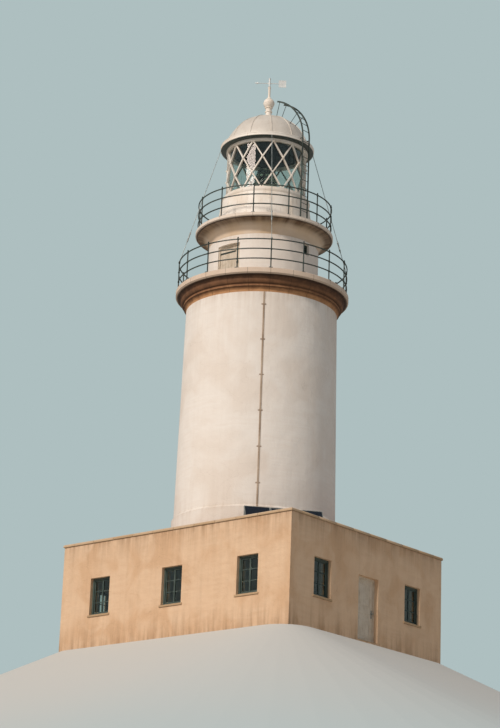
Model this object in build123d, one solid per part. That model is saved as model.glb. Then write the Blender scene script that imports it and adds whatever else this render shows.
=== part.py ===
from build123d import *
import math
import os

# A coastal lighthouse: a round white tower with two galleries and a glazed lantern,
# rising through the flat roof of a square keeper's house. Millimetres, +Z up.
# The origin is on the tower's axis at ground level. The house's walls run along X and Y,
# and its front wall faces -Y.

# Fit between curved faces that meet, and running clearance of the vane's bearing
curved_fit = 0.3
bearing_clearance = 0.05
running_gap = 5.0

# Keeper's house
house_width = 8400.0
house_depth = 10200.0
house_wall = 450.0
house_wall_top = 3750.0
floor_thickness = 150.0
parapet_height = 350.0
roof_thickness = 260.0
coping_height = 100.0
coping_overhang = 40.0
coping_bevel = 30.0

# Openings of the house
entrance_width = 1100.0
entrance_height = 2200.0
entrance_setback = 160.0
frame_face = 70.0
frame_depth = 110.0
leaf_thickness = 50.0
leaf_panel_margin = 140.0
leaf_panel_depth = 12.0
window_width = 900.0
window_height = 1300.0
window_sill = 1050.0
window_setback = 120.0
pane_thickness = 8.0
side_window_spacing = 3300.0
side_window_count = 3
end_window_offset = 2500.0

# Tower
base_radius = 2920.0
base_rise = 1420.0
base_bevel = 60.0
base_ledge = 70.0
shaft_height = 7750.0
shaft_batter = 120.0
tower_wall = 970.0
tower_door_width = 900.0
tower_door_height = 2100.0
conductor_angle = 221.5
conductor_width = 60.0
conductor_thickness = 18.0

# Lower gallery
lower_cornice_height = 550.0
lower_deck_reach = 405.0
lower_deck_thickness = 220.0
lower_deck_nosing = 45.0
cornice_steps = 3
cornice_fillet = 75.0
cornice_setback = 90.0

# Watch room
watch_setback = 730.0
watch_wall = 300.0
watch_height = 1690.0
watch_door_width = 1000.0
watch_door_height = 1400.0
watch_door_setback = 150.0
vent_width = 320.0
vent_height = 400.0
vent_sill = 1190.0
vent_frame_face = 35.0
vent_frame_depth = 100.0
vent_setback = 100.0

# Upper gallery
upper_cornice_height = 490.0
upper_deck_reach = 516.0
upper_deck_thickness = 130.0
upper_deck_nosing = 30.0
upper_cove_setback = 90.0
upper_cove_fillet = 35.0

# Railings
railing_height = 1100.0
railing_inset = 75.0
lower_bays = 16
upper_bays = 12
post_radius = 22.0
post_plate = 130.0
post_plate_thickness = 14.0
rail_size = 34.0
rail_rows = 3
rail_joint = 1.0

# Lantern
murette_setback = 400.0
murette_flare = 160.0
murette_wall = 140.0
murette_height = 1300.0
sill_height = 90.0
sill_setback = 45.0
lattice_setback = 150.0
lattice_nodes = 12
lattice_tiers = 3
lattice_turn_angle = 3.7
glazing_height = 1810.0
bar_width = 45.0
bar_depth = 60.0
ring_inset = 90.0
head_height = 90.0
glass_thickness = 10.0
glass_gap = 4.0
eave_overhang = 200.0
eave_height = 160.0
eave_lip = 45.0
gutter_width = 150.0
dome_rise = 1270.0
dome_shell = 40.0

# Optic
pedestal_radius = 210.0
pedestal_height = 1600.0
lens_radius = 400.0
lens_waist = 300.0
lens_height = 980.0

# Ball ventilator, mast and vane
ball_radius = 205.0
neck_radius = 110.0
neck_height = 395.0
mast_radius = 45.0
mast_height = 465.0
spindle_radius = 12.0
spindle_length = 300.0
hub_radius = 34.0
hub_cap = 60.0
vane_angle = -50.0
vane_tail_reach = 620.0
vane_tail_size = 280.0
vane_plate = 8.0
vane_arm_radius = 13.0
vane_arm_lap = 20.0
vane_point_reach = 430.0
vane_point_radius = 42.0
vane_point_length = 150.0

# Ladder over the dome, on the front of the lantern
ladder_angle = 270.0
ladder_clearance = 120.0
ladder_width = 380.0
stringer_width = 60.0
stringer_thickness = 14.0
rung_radius = 11.0
rung_pitch = 300.0
ladder_arc_angle = 72.0
ladder_bracket = 40.0

# Stays from the eave to every fourth post of the lower railing
stay_radius = 11.0
stay_posts = (2, 6, 10, 14)

# Solar row on the roof, set across the corner of the parapet
solar_side_gap = 224.0
solar_front_gap = 274.0
solar_face_angle = 230.0
solar_panels_count = 3
solar_panel_width = 880.0
solar_panel_gap = 25.0
solar_panel_length = 1250.0
solar_panel_thickness = 38.0
solar_tilt_angle = 55.0
solar_bar = 40.0
solar_foot = 110.0

# Heights worked out from the sizes above, from the ground up
coping_top = house_wall_top + coping_height
roof_top = house_wall_top - parapet_height
base_top = roof_top + base_rise
shaft_top = base_top + shaft_height
lower_deck_under = shaft_top + lower_cornice_height
lower_deck_top = lower_deck_under + lower_deck_thickness
watch_top = lower_deck_top + watch_height
upper_deck_under = watch_top + upper_cornice_height
upper_deck_top = upper_deck_under + upper_deck_thickness
murette_top = upper_deck_top + murette_height
glazing_foot = murette_top + sill_height
glazing_head = glazing_foot + glazing_height
eave_under = glazing_head + head_height
eave_top = eave_under + eave_height
dome_top = eave_top + dome_rise
ball_centre = dome_top + neck_height + ball_radius
mast_top = ball_centre + ball_radius + mast_height
pedestal_top = upper_deck_top + pedestal_height

# Radii worked out from the sizes above, each stage from the one that carries it
tower_bore = base_radius - tower_wall
shaft_foot_radius = base_radius - base_ledge
shaft_top_radius = shaft_foot_radius - shaft_batter
lower_deck_radius = shaft_top_radius + lower_deck_reach
watch_radius = shaft_top_radius - watch_setback
upper_deck_radius = watch_radius + upper_deck_reach
lower_rail_radius = lower_deck_radius - railing_inset
upper_rail_radius = upper_deck_radius - railing_inset
murette_radius = watch_radius - murette_setback
murette_foot_radius = murette_radius + murette_flare
lattice_radius = murette_radius - lattice_setback
eave_radius = lattice_radius + bar_depth + eave_overhang
dome_foot_radius = eave_radius - gutter_width
ladder_radius = eave_radius + ladder_clearance
side_names = ("right", "back", "left", "front")


def write(name, shape):
    export_step(shape, f"parts/{name}.step")


def block(x0, x1, y0, y1, z0, z1):
    return Pos((x0 + x1) / 2, (y0 + y1) / 2, (z0 + z1) / 2) * Box(x1 - x0, y1 - y0, z1 - z0)


def turned(points, start=0.0, arc=360.0):
    """A closed outline of (radius, height) points turned about the tower's axis."""
    face = make_face(Plane.XZ * Polyline(*points, close=True))
    return Rot(0, 0, start) * revolve(face, Axis.Z, revolution_arc=arc)


def ring(inner, outer, low, high, start=0.0, arc=360.0):
    return turned([(inner, low), (outer, low), (outer, high), (inner, high)], start, arc)


def disc(radius, low, high):
    return Pos(0, 0, (low + high) / 2) * Cylinder(radius, high - low)


def rod(start, end, radius):
    """A round bar between two points."""
    axis = Vector(*end) - Vector(*start)
    plane = Plane(origin=Vector(*start), z_dir=axis.normalized())
    return extrude(plane * Circle(radius), axis.length)


def polar(radius, angle, height):
    turn = math.radians(angle)
    return (radius * math.cos(turn), radius * math.sin(turn), height)


def joined(shapes):
    first, *others = shapes
    return first.fuse(*others) if others else first


# Each window is the centre of its opening, with the turn of the wall that holds it
def window_places():
    rows = [(i - (side_window_count - 1) / 2) * side_window_spacing for i in range(side_window_count)]
    places = [(180.0, house_width / 2, along) for along in rows]
    places += [(0.0, house_width / 2, along) for along in rows]
    places += [(turn, house_depth / 2, side * end_window_offset) for turn in (90.0, 270.0) for side in (-1, 1)]
    return places


def at_wall(turn, reach, along, shape):
    """Moves a shape, made at x = 0 with the outside towards +X, to a wall's outer face."""
    return Rot(0, 0, turn) * Pos(reach, along, 0) * shape


def window_cut(width, height, sill, depth):
    return block(-depth, depth, -width / 2, width / 2, sill, sill + height)


def window_frame(width, height, sill, face, depth, setback):
    outer = block(-setback - depth, -setback, -width / 2, width / 2, sill, sill + height)
    inner = block(-setback - 2 * depth, depth, -width / 2 + face, width / 2 - face, sill + face, sill + height - face)
    return outer - inner


def window_pane(width, height, sill, face, depth, setback):
    middle = -setback - depth / 2
    return block(
        middle - pane_thickness / 2,
        middle + pane_thickness / 2,
        -width / 2 + face,
        width / 2 - face,
        sill + face,
        sill + height - face,
    )


def house():
    half_w = house_width / 2
    half_d = house_depth / 2
    in_w = half_w - house_wall
    in_d = half_d - house_wall
    walls = {
        "front_wall": block(-half_w, half_w, -half_d, -in_d, 0, house_wall_top),
        "back_wall": block(-half_w, half_w, in_d, half_d, 0, house_wall_top),
        "left_wall": block(-half_w, -in_w, -in_d, in_d, 0, house_wall_top),
        "right_wall": block(in_w, half_w, -in_d, in_d, 0, house_wall_top),
    }
    turns = {180.0: "left_wall", 0.0: "right_wall", 90.0: "back_wall", 270.0: "front_wall"}
    sill = floor_thickness + window_sill
    hole = window_cut(window_width, window_height, sill, house_wall)
    for turn, reach, along in window_places():
        walls[turns[turn]] -= at_wall(turn, reach + house_wall / 2, along, Pos(-house_wall, 0, 0) * hole)
    entrance = window_cut(entrance_width, entrance_height, floor_thickness, house_wall)
    walls["front_wall"] -= at_wall(270.0, half_d, 0, Pos(-house_wall / 2, 0, 0) * entrance)
    for name, wall in walls.items():
        write(name, wall)

    tower_hole = disc(base_radius + curved_fit, -1, coping_top)
    floor = block(-in_w, in_w, -in_d, in_d, 0, floor_thickness)
    write("house_floor", floor - tower_hole)
    roof = block(-in_w, in_w, -in_d, in_d, roof_top - roof_thickness, roof_top)
    write("roof_slab", roof - tower_hole)

    over = coping_overhang
    coping = block(-half_w - over, half_w + over, -half_d - over, half_d + over, house_wall_top, coping_top)
    coping -= block(-in_w + over, in_w - over, -in_d + over, in_d - over, house_wall_top - 1, coping_top + 1)
    coping = chamfer(coping.edges().group_by(Axis.Z)[-1], coping_bevel)
    write("coping", coping)


def house_joinery():
    sill = floor_thickness + window_sill
    sizes = (window_width, window_height, sill, frame_face, frame_depth, window_setback)
    frames = [at_wall(*place, window_frame(*sizes)) for place in window_places()]
    panes = [at_wall(*place, window_pane(*sizes)) for place in window_places()]
    vent = (vent_width, vent_height, lower_deck_top + vent_sill, vent_frame_face, vent_frame_depth, vent_setback)
    frames.append(at_wall(270.0, watch_radius, 0, window_frame(*vent)))
    panes.append(at_wall(270.0, watch_radius, 0, window_pane(*vent)))
    write("window_frames", Compound(children=frames))
    write("window_panes", Compound(children=panes))

    low = floor_thickness
    high = floor_thickness + entrance_height
    half = entrance_width / 2
    out = -entrance_setback
    frame = block(out - frame_depth, out, -half, half, low, high)
    frame -= block(out - 2 * frame_depth, 1, -half + frame_face, half - frame_face, low - 1, high - frame_face)
    leaf_half = half - frame_face - curved_fit
    leaf_out = out - frame_depth / 2 + leaf_thickness / 2
    leaf_top = high - frame_face - curved_fit
    leaf = block(leaf_out - leaf_thickness, leaf_out, -leaf_half, leaf_half, low + curved_fit, leaf_top)
    middle = (low + leaf_top) / 2
    panel_half = leaf_half - leaf_panel_margin
    for bottom, top in ((low, middle), (middle, leaf_top)):
        leaf -= block(
            leaf_out - leaf_panel_depth,
            leaf_out + 1,
            -panel_half,
            panel_half,
            bottom + leaf_panel_margin,
            top - leaf_panel_margin / 2,
        )
    door = [at_wall(270.0, house_depth / 2, 0, piece) for piece in (frame, leaf)]
    write("entrance_door", Compound(children=door))


def tower_base():
    write("tower_floor", disc(tower_bore - curved_fit, 0, floor_thickness))
    outline = [
        (tower_bore, 0),
        (base_radius, 0),
        (base_radius, base_top - base_bevel),
        (base_radius - base_bevel, base_top),
        (tower_bore, base_top),
    ]
    for turn, side in zip((0, 90, 180), side_names):
        write(f"base_wall_{side}", turned(outline, turn - 45, 90))
    front = turned(outline, 225, 90)
    half = tower_door_width / 2
    door_head = floor_thickness + tower_door_height
    full = base_radius + 1
    beside = front - block(-half, half, -full, 0, -1, base_top + 1)
    write("base_front_piers", Compound(children=list(beside.solids())))
    over = front & block(-half, half, -full, 0, door_head, base_top)
    write("base_over_door", over)


def tower_shaft():
    outline = [
        (tower_bore, base_top),
        (shaft_foot_radius, base_top),
        (shaft_top_radius, shaft_top),
        (tower_bore, shaft_top),
    ]
    for index, side in enumerate(side_names):
        write(f"shaft_wall_{side}", turned(outline, 90 * index - 45, 90))
    # The strap follows the base course, steps in over its ledge and follows the batter
    out = conductor_thickness
    strap = [
        (base_radius, roof_top),
        (base_radius + out, roof_top),
        (base_radius + out, base_top - base_bevel),
        (base_radius - base_bevel + out, base_top + out),
        (shaft_foot_radius + out, base_top + out),
        (shaft_top_radius + out, shaft_top),
        (shaft_top_radius, shaft_top),
        (shaft_foot_radius, base_top),
        (base_radius - base_bevel, base_top),
        (base_radius, base_top - base_bevel),
    ]
    arc = math.degrees(conductor_width / shaft_foot_radius)
    write("conductor", turned(strap, conductor_angle - arc / 2, arc))


def lower_gallery():
    # Stone mouldings step outwards to carry the deck: a fillet, a round and a hollow
    low = shaft_top
    high = lower_deck_under
    outer = lower_deck_radius - cornice_setback
    step_out = (outer - shaft_top_radius) / cornice_steps
    step_up = (high - low) / cornice_steps
    line = Line((tower_bore, low), (shaft_top_radius, low))
    edges = [line]
    radius = shaft_top_radius
    height = low
    for index in range(cornice_steps):
        edges.append(Line((radius, height), (radius, height + cornice_fillet)))
        start = (radius, height + cornice_fillet)
        end = (radius + step_out, height + step_up)
        bulge = -1 if index == 1 else 1
        edges.append(RadiusArc(start, end, bulge * step_up))
        radius, height = end
    edges.append(Line((radius, height), (tower_bore, high)))
    edges.append(Line((tower_bore, high), (tower_bore, low)))
    face = make_face(Plane.XZ * Wire(edges))
    write("lower_cornice", revolve(face, Axis.Z))

    nose = lower_deck_nosing
    deck = [
        (0, lower_deck_under),
        (lower_deck_radius - nose, lower_deck_under),
        (lower_deck_radius, lower_deck_under + nose),
        (lower_deck_radius, lower_deck_top - nose / 2),
        (lower_deck_radius - nose / 2, lower_deck_top),
        (0, lower_deck_top),
    ]
    write("lower_deck", turned(deck))


def watch_room():
    bore = watch_radius - watch_wall
    outline = [(bore, lower_deck_top), (watch_radius, lower_deck_top), (watch_radius, watch_top), (bore, watch_top)]
    door_cut = window_cut(watch_door_width, watch_door_height, lower_deck_top, watch_wall * 2)
    vent_cut = window_cut(vent_width, vent_height, lower_deck_top + vent_sill, watch_wall * 2)
    cuts = {"left": (180.0, door_cut), "front": (270.0, vent_cut)}
    for index, side in enumerate(side_names):
        wall = turned(outline, 90 * index - 45, 90)
        if side in cuts:
            turn, cut = cuts[side]
            wall -= at_wall(turn, watch_radius, 0, cut)
        write(f"watch_wall_{side}", wall)
    leaf = block(
        -watch_door_setback - leaf_thickness,
        -watch_door_setback,
        -watch_door_width / 2,
        watch_door_width / 2,
        lower_deck_top,
        lower_deck_top + watch_door_height,
    )
    write("watch_door", at_wall(180.0, watch_radius, 0, leaf))


def upper_gallery():
    bore = watch_radius - watch_wall
    outer = upper_deck_radius - upper_cove_setback
    low = watch_top
    high = upper_deck_under
    # A hollow between two narrow fillets carries the deck, level where it meets the upper one
    run = outer - watch_radius
    rise = high - low - 2 * upper_cove_fillet
    cove = (run**2 + rise**2) / (2 * rise)
    start = (watch_radius, low + upper_cove_fillet)
    end = (outer, high - upper_cove_fillet)
    edges = [
        Line((bore, low), (watch_radius, low)),
        Line((watch_radius, low), start),
        RadiusArc(start, end, cove),
        Line(end, (outer, high)),
        Line((outer, high), (bore, high)),
        Line((bore, high), (bore, low)),
    ]
    face = make_face(Plane.XZ * Wire(edges))
    write("upper_cornice", revolve(face, Axis.Z))
    nose = upper_deck_nosing
    deck = [
        (0, upper_deck_under),
        (upper_deck_radius - nose, upper_deck_under),
        (upper_deck_radius, upper_deck_under + nose),
        (upper_deck_radius, upper_deck_top),
        (0, upper_deck_top),
    ]
    write("upper_deck", turned(deck))


def rail_heights():
    return [railing_height * (row + 1) / rail_rows - rail_size / 2 for row in range(rail_rows)]


def railing(radius, deck, bays):
    """One solid a bay: a post on its plate, with the rails that run on to the next post."""
    pitch = 360 / bays
    bay_joint = math.degrees((post_radius + rail_joint) / radius)
    half = rail_size / 2
    post = Pos(radius, 0, deck) * Cylinder(
        post_radius, railing_height, align=(Align.CENTER, Align.CENTER, Align.MIN)
    )
    plate = Pos(radius, 0, deck) * Box(
        post_plate, post_plate, post_plate_thickness, align=(Align.CENTER, Align.CENTER, Align.MIN)
    )
    rails = [
        ring(radius - half, radius + half, deck + z - half, deck + z + half, 0, pitch - bay_joint)
        for z in rail_heights()
    ]
    bay = joined([post, plate] + rails)
    return Compound(children=[Rot(0, 0, pitch * index) * bay for index in range(bays)])


def lantern_walls():
    murette = [
        (murette_foot_radius - murette_wall, upper_deck_top),
        (murette_foot_radius, upper_deck_top),
        (murette_radius, murette_top),
        (murette_radius - murette_wall, murette_top),
    ]
    write("murette", turned(murette))
    # The panes stand just inside the bars, which are chords between the lattice's nodes
    pitch = 360 / lattice_nodes
    outer = lattice_radius * math.cos(math.radians(pitch / 4)) - bar_depth / 2 - curved_fit
    pane_arc = pitch - math.degrees(glass_gap / outer)
    pane = ring(outer - glass_thickness, outer, glazing_foot, glazing_head, 0, pane_arc)
    panes = [Rot(0, 0, pitch * index) * pane for index in range(lattice_nodes)]
    write("lantern_glass", Compound(children=panes))


def lattice_bar(start, end):
    """A flat bar of the lattice between two nodes, its depth lying along the radius."""
    a = Vector(*start)
    b = Vector(*end)
    middle = (a + b) * 0.5
    outward = Vector(middle.X, middle.Y, 0).normalized()
    plane = Plane(origin=a, x_dir=outward, z_dir=(b - a).normalized())
    return extrude(plane * Rectangle(bar_depth, bar_width), (b - a).length)


def lantern_lattice():
    pitch = 360 / lattice_nodes
    # The lowest and highest nodes lie inside the sill and the head ring
    low = glazing_foot - bar_width / 2
    tier = (glazing_head + bar_width / 2 - low) / lattice_tiers
    bars = []
    for level in range(lattice_tiers):
        for index in range(lattice_nodes):
            here = lattice_turn_angle + pitch * (index + (level % 2) / 2)
            foot = polar(lattice_radius, here, low + tier * level)
            for lean in (-1, 1):
                head = polar(lattice_radius, here + lean * pitch / 2, low + tier * (level + 1))
                bars.append(lattice_bar(foot, head))
    inner = lattice_radius - ring_inset
    sill = ring(inner, murette_radius - sill_setback, murette_top, glazing_foot)
    head = ring(inner, lattice_radius + bar_depth, glazing_head, eave_under)
    write("lantern_lattice", joined([sill, head] + bars))


def lantern_roof():
    gutter = [
        (lattice_radius - bar_depth, eave_under),
        (eave_radius - eave_lip, eave_under),
        (eave_radius, eave_under + eave_lip),
        (eave_radius, eave_top),
        (eave_radius - eave_lip, eave_top),
        (eave_radius - eave_lip, eave_top - eave_lip),
        (dome_foot_radius + eave_lip, eave_top - eave_lip),
        (dome_foot_radius, eave_top),
        (lattice_radius - bar_depth, eave_top),
    ]
    write("eave_ring", turned(gutter))
    write("dome", dome_shape(0) - dome_shape(dome_shell))


def dome_sphere():
    """Radius and centre height of the sphere that the dome is a cap of."""
    rise = dome_top - eave_top
    radius = (dome_foot_radius**2 + rise**2) / (2 * rise)
    return radius, dome_top - radius


def dome_shape(inset):
    radius, centre = dome_sphere()
    ball = Pos(0, 0, centre) * Sphere(radius - inset)
    return ball & block(-radius, radius, -radius, radius, eave_top, dome_top + 1)


def ball_and_mast():
    neck = disc(neck_radius, dome_top - dome_shell, ball_centre)
    ball = Pos(0, 0, ball_centre) * Sphere(ball_radius)
    mast = disc(mast_radius, ball_centre, mast_top)
    spindle = disc(spindle_radius, mast_top, mast_top + spindle_length)
    write("ball_and_mast", joined([neck, ball, mast, spindle]) - dome_shape(0))


def vane():
    low = mast_top + running_gap
    high = mast_top + spindle_length + hub_cap
    hub = disc(hub_radius, low, high)
    hub -= disc(spindle_radius + bearing_clearance, low - 1, mast_top + spindle_length + curved_fit)
    arm_height = (low + mast_top + spindle_length) / 2
    tail_start = vane_tail_reach - vane_tail_size
    arm = rod((-vane_point_reach, 0, arm_height), (-hub_radius / 2 - spindle_radius, 0, arm_height), vane_arm_radius)
    tail_arm = rod((hub_radius / 2 + spindle_radius, 0, arm_height), (tail_start + vane_arm_lap, 0, arm_height), vane_arm_radius)
    tail = block(
        tail_start,
        vane_tail_reach,
        -vane_plate / 2,
        vane_plate / 2,
        arm_height - vane_tail_size / 2,
        arm_height + vane_tail_size / 2,
    )
    point = Plane(origin=(-vane_point_reach, 0, arm_height), z_dir=(-1, 0, 0)) * Cone(
        vane_point_radius, 1, vane_point_length, align=(Align.CENTER, Align.CENTER, Align.MIN)
    )
    write("vane", Rot(0, 0, vane_angle) * joined([hub, arm, tail_arm, tail, point]))


def dome_ladder():
    """Straight up the lantern's side, then bent over the dome about a centre level with its foot."""
    radius = ladder_radius
    centre = eave_top
    half = ladder_width / 2
    low = upper_deck_top
    thick = stringer_thickness
    section = Rectangle(stringer_width, thick)
    pieces = []
    for side in (-1, 1):
        across = side * half
        straight = block(
            radius - stringer_width / 2,
            radius + stringer_width / 2,
            across - thick / 2,
            across + thick / 2,
            low,
            centre,
        )
        face = Plane(origin=(radius, across, centre), x_dir=(1, 0, 0), z_dir=(0, 0, 1)) * section
        bend = revolve(face, Axis((0, 0, centre), (0, -1, 0)), revolution_arc=ladder_arc_angle)
        pieces += [straight, bend]
    rungs = int((centre - low) / rung_pitch)
    for index in range(1, rungs + 1):
        z = low + rung_pitch * index
        pieces.append(rod((radius, -half, z), (radius, half, z), rung_radius))
    arc_rungs = int(math.radians(ladder_arc_angle) * radius / rung_pitch)
    for index in range(1, arc_rungs + 1):
        turn = rung_pitch * index / radius
        place = (radius * math.cos(turn), centre + radius * math.sin(turn))
        pieces.append(rod((place[0], -half, place[1]), (place[0], half, place[1]), rung_radius))
    # Brackets tie the ladder back to the eave
    for side in (-1, 1):
        across = side * half
        pieces.append(
            block(
                eave_radius - eave_lip,
                radius,
                across - thick / 2,
                across + thick / 2,
                eave_top - ladder_bracket,
                eave_top,
            )
        )
    ladder = Rot(0, 0, ladder_angle) * joined(pieces)
    gutter = ring(lattice_radius, eave_radius + curved_fit, eave_under, eave_top + curved_fit)
    write("dome_ladder", ladder - gutter)


def stays():
    """Straight rods from the gutter's outer wall down to the tops of the lower railing's posts."""
    gutter = ring(lattice_radius, eave_radius, eave_under, eave_top)
    foot_height = lower_deck_top + railing_height
    rods = []
    for post in stay_posts:
        angle = 360 / lower_bays * post
        top = polar(eave_radius - stay_radius, angle, eave_under + eave_height / 2)
        foot = polar(lower_rail_radius, angle, foot_height)
        along = (Vector(*foot) - Vector(*top)).normalized()
        below = Vector(*foot) + along * (2 * stay_radius)
        stay = rod(top, (below.X, below.Y, below.Z), stay_radius)
        cap = Pos(foot[0], foot[1], foot_height - post_plate / 2) * Box(post_plate, post_plate, post_plate)
        rods.append(stay - gutter - cap)
    write("stays", Compound(children=rods))


def optic():
    write("optic_pedestal", disc(pedestal_radius, upper_deck_top, pedestal_top))
    edges = [
        Line((0, pedestal_top), (lens_waist, pedestal_top)),
        ThreePointArc(
            (lens_waist, pedestal_top),
            (lens_radius, pedestal_top + lens_height / 2),
            (lens_waist, pedestal_top + lens_height),
        ),
        Line((lens_waist, pedestal_top + lens_height), (0, pedestal_top + lens_height)),
        Line((0, pedestal_top + lens_height), (0, pedestal_top)),
    ]
    write("optic_lens", revolve(make_face(Plane.XZ * Wire(edges)), Axis.Z))


def solar_row():
    """Panels on sloping bars. Local x runs along the row and local y back towards the tower."""
    tilt = math.radians(solar_tilt_angle)
    run = solar_panel_length * math.cos(tilt)
    rise = solar_panel_length * math.sin(tilt)
    width = solar_panels_count * solar_panel_width + (solar_panels_count - 1) * solar_panel_gap
    foot = roof_top + solar_foot
    slope = Plane(origin=(0, -run / 2, foot), x_dir=(1, 0, 0), z_dir=(0, -math.sin(tilt), math.cos(tilt)))
    panels = []
    for index in range(solar_panels_count):
        along = -width / 2 + solar_panel_width / 2 + index * (solar_panel_width + solar_panel_gap)
        panel = Pos(along, solar_panel_length / 2, solar_panel_thickness / 2) * Box(
            solar_panel_width, solar_panel_length, solar_panel_thickness
        )
        panels.append(slope.location * panel)
    frames = []
    for index in range(solar_panels_count + 1):
        along = -width / 2 + index * width / solar_panels_count
        along = max(-width / 2 + solar_bar / 2, min(width / 2 - solar_bar / 2, along))
        bar = Pos(along, solar_panel_length / 2, -solar_bar / 2) * Box(solar_bar, solar_panel_length, solar_bar)
        left = along - solar_bar / 2
        right = along + solar_bar / 2
        ground = block(left, right, -run / 2, run / 2, roof_top, roof_top + solar_bar)
        front = block(left, right, -run / 2, -run / 2 + solar_bar, roof_top, foot)
        rear = block(left, right, run / 2 - solar_bar, run / 2, roof_top, foot + rise)
        above = slope.location * Pos(along, solar_panel_length / 2, solar_bar) * Box(
            solar_bar * 2, solar_panel_length * 2, solar_bar * 2
        )
        frames.append(joined([slope.location * bar, ground, front, rear]) - above)
    # The row stands across the parapet's corner, its ends a set gap from each wall
    turn = math.radians(solar_face_angle + 90)
    reach_x = (width * abs(math.cos(turn)) + run * abs(math.sin(turn))) / 2
    reach_y = (width * abs(math.sin(turn)) + run * abs(math.cos(turn))) / 2
    x = -house_width / 2 + house_wall + solar_side_gap + reach_x
    y = -house_depth / 2 + house_wall + solar_front_gap + reach_y
    place = Pos(x, y, 0) * Rot(0, 0, solar_face_angle + 90)
    write("solar_panels", place * Compound(children=panels))
    write("solar_stand", place * Compound(children=frames))


os.makedirs("parts", exist_ok=True)
house()
house_joinery()
tower_base()
tower_shaft()
lower_gallery()
watch_room()
upper_gallery()
write("lower_railing", railing(lower_rail_radius, lower_deck_top, lower_bays))
write("upper_railing", railing(upper_rail_radius, upper_deck_top, upper_bays))
lantern_walls()
lantern_lattice()
lantern_roof()
ball_and_mast()
vane()
dome_ladder()
stays()
optic()
solar_row()
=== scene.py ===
import math
import bpy
from mathutils import Matrix, Vector


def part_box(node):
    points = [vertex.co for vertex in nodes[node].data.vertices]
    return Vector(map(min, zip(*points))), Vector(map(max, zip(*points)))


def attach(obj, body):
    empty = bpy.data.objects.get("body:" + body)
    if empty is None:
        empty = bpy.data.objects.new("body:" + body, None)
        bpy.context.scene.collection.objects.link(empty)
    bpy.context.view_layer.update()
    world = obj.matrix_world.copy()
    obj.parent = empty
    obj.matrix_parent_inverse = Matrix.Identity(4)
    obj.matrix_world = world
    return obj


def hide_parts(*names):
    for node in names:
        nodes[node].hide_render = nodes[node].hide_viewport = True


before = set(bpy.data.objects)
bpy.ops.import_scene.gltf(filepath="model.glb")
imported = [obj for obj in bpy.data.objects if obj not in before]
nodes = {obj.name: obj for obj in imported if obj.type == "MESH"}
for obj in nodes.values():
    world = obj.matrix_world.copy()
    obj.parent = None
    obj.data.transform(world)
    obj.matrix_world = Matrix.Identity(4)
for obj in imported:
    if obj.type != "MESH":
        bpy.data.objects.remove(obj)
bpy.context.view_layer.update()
print("frame loaded:", len(nodes), "nodes")


# Colours are written as sRGB hex and used as linear values
def linearColour(hexText):
    channels = [int(hexText[i:i + 2], 16) / 255 for i in (1, 3, 5)]
    return tuple(c / 12.92 if c <= 0.04045 else ((c + 0.055) / 1.055) ** 2.4 for c in channels) + (1.0,)


# Another node's output is linked to an input. A hex colour or a plain value is set on it
def feed(tree, node, inputs):
    for socket, value in inputs.items():
        if isinstance(value, bpy.types.NodeSocket):
            tree.links.new(value, node.inputs[socket])
        else:
            node.inputs[socket].default_value = linearColour(value) if isinstance(value, str) else value


def addNode(tree, kind, inputs=None, **settings):
    node = tree.nodes.new(kind)
    for key, value in settings.items():
        setattr(node, key, value)
    feed(tree, node, inputs or {})
    return node


# A new material, its node tree, its surface, and the point in metres that its patterns are drawn from
def newMaterial(name, inputs=None):
    material = bpy.data.materials.new(name)
    material.use_nodes = True
    tree = material.node_tree
    shader = tree.nodes["Principled BSDF"]
    feed(tree, shader, inputs or {})
    return material, tree, shader, addNode(tree, "ShaderNodeTexCoord").outputs["Object"]


# The nodes that many materials use, each as a call that gives what comes out of it

def noise(tree, point, scale, detail, roughness=0.5, distortion=0.0):
    inputs = {"Vector": point, "Scale": scale, "Detail": detail, "Roughness": roughness,
              "Distortion": distortion}
    return addNode(tree, "ShaderNodeTexNoise", inputs).outputs[0]


def cellular(tree, point, scale, output, feature="F1"):
    inputs = {"Vector": point, "Scale": scale}
    return addNode(tree, "ShaderNodeTexVoronoi", inputs, feature=feature).outputs[output]


def ranged(tree, value, start, end, low=0.0, high=1.0):
    inputs = {"Value": value, "From Min": start, "From Max": end, "To Min": low, "To Max": high}
    return addNode(tree, "ShaderNodeMapRange", inputs).outputs[0]


def stretched(tree, point, scale):
    return addNode(tree, "ShaderNodeMapping", {"Vector": point, "Scale": scale}).outputs[0]


def reckon(tree, operation, *values):
    return addNode(tree, "ShaderNodeMath", dict(enumerate(values)), operation=operation).outputs[0]


def reckonVector(tree, operation, *values):
    return addNode(tree, "ShaderNodeVectorMath", dict(enumerate(values)), operation=operation).outputs[0]


def axesOf(tree, vector):
    return addNode(tree, "ShaderNodeSeparateXYZ", {0: vector}).outputs


def toneOf(tree):
    return addNode(tree, "ShaderNodeAttribute", attribute_name="tone").outputs["Fac"]


def blend(tree, share, first, second):
    return addNode(tree, "ShaderNodeMix", {0: share, 6: first, 7: second}, data_type="RGBA").outputs[2]


def glow(tree, colour, strength):
    return addNode(tree, "ShaderNodeBackground", {"Color": colour, "Strength": strength}).outputs[0]


def blendSurfaces(tree, share, first, second):
    return addNode(tree, "ShaderNodeMixShader", {0: share, 1: first, 2: second}).outputs[0]


def ramp(tree, value, stops):
    node = addNode(tree, "ShaderNodeValToRGB", {0: value})
    elements = node.color_ramp.elements
    while len(elements) < len(stops):
        elements.new(0.5)
    for element, (place, stop) in zip(elements, stops):
        element.position = place
        element.color = linearColour(stop) if isinstance(stop, str) else (stop, stop, stop, 1.0)
    return node.outputs[0]


def relief(tree, height, strength, distance):
    inputs = {"Height": height, "Strength": strength, "Distance": distance}
    return addNode(tree, "ShaderNodeBump", inputs).outputs[0]


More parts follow.
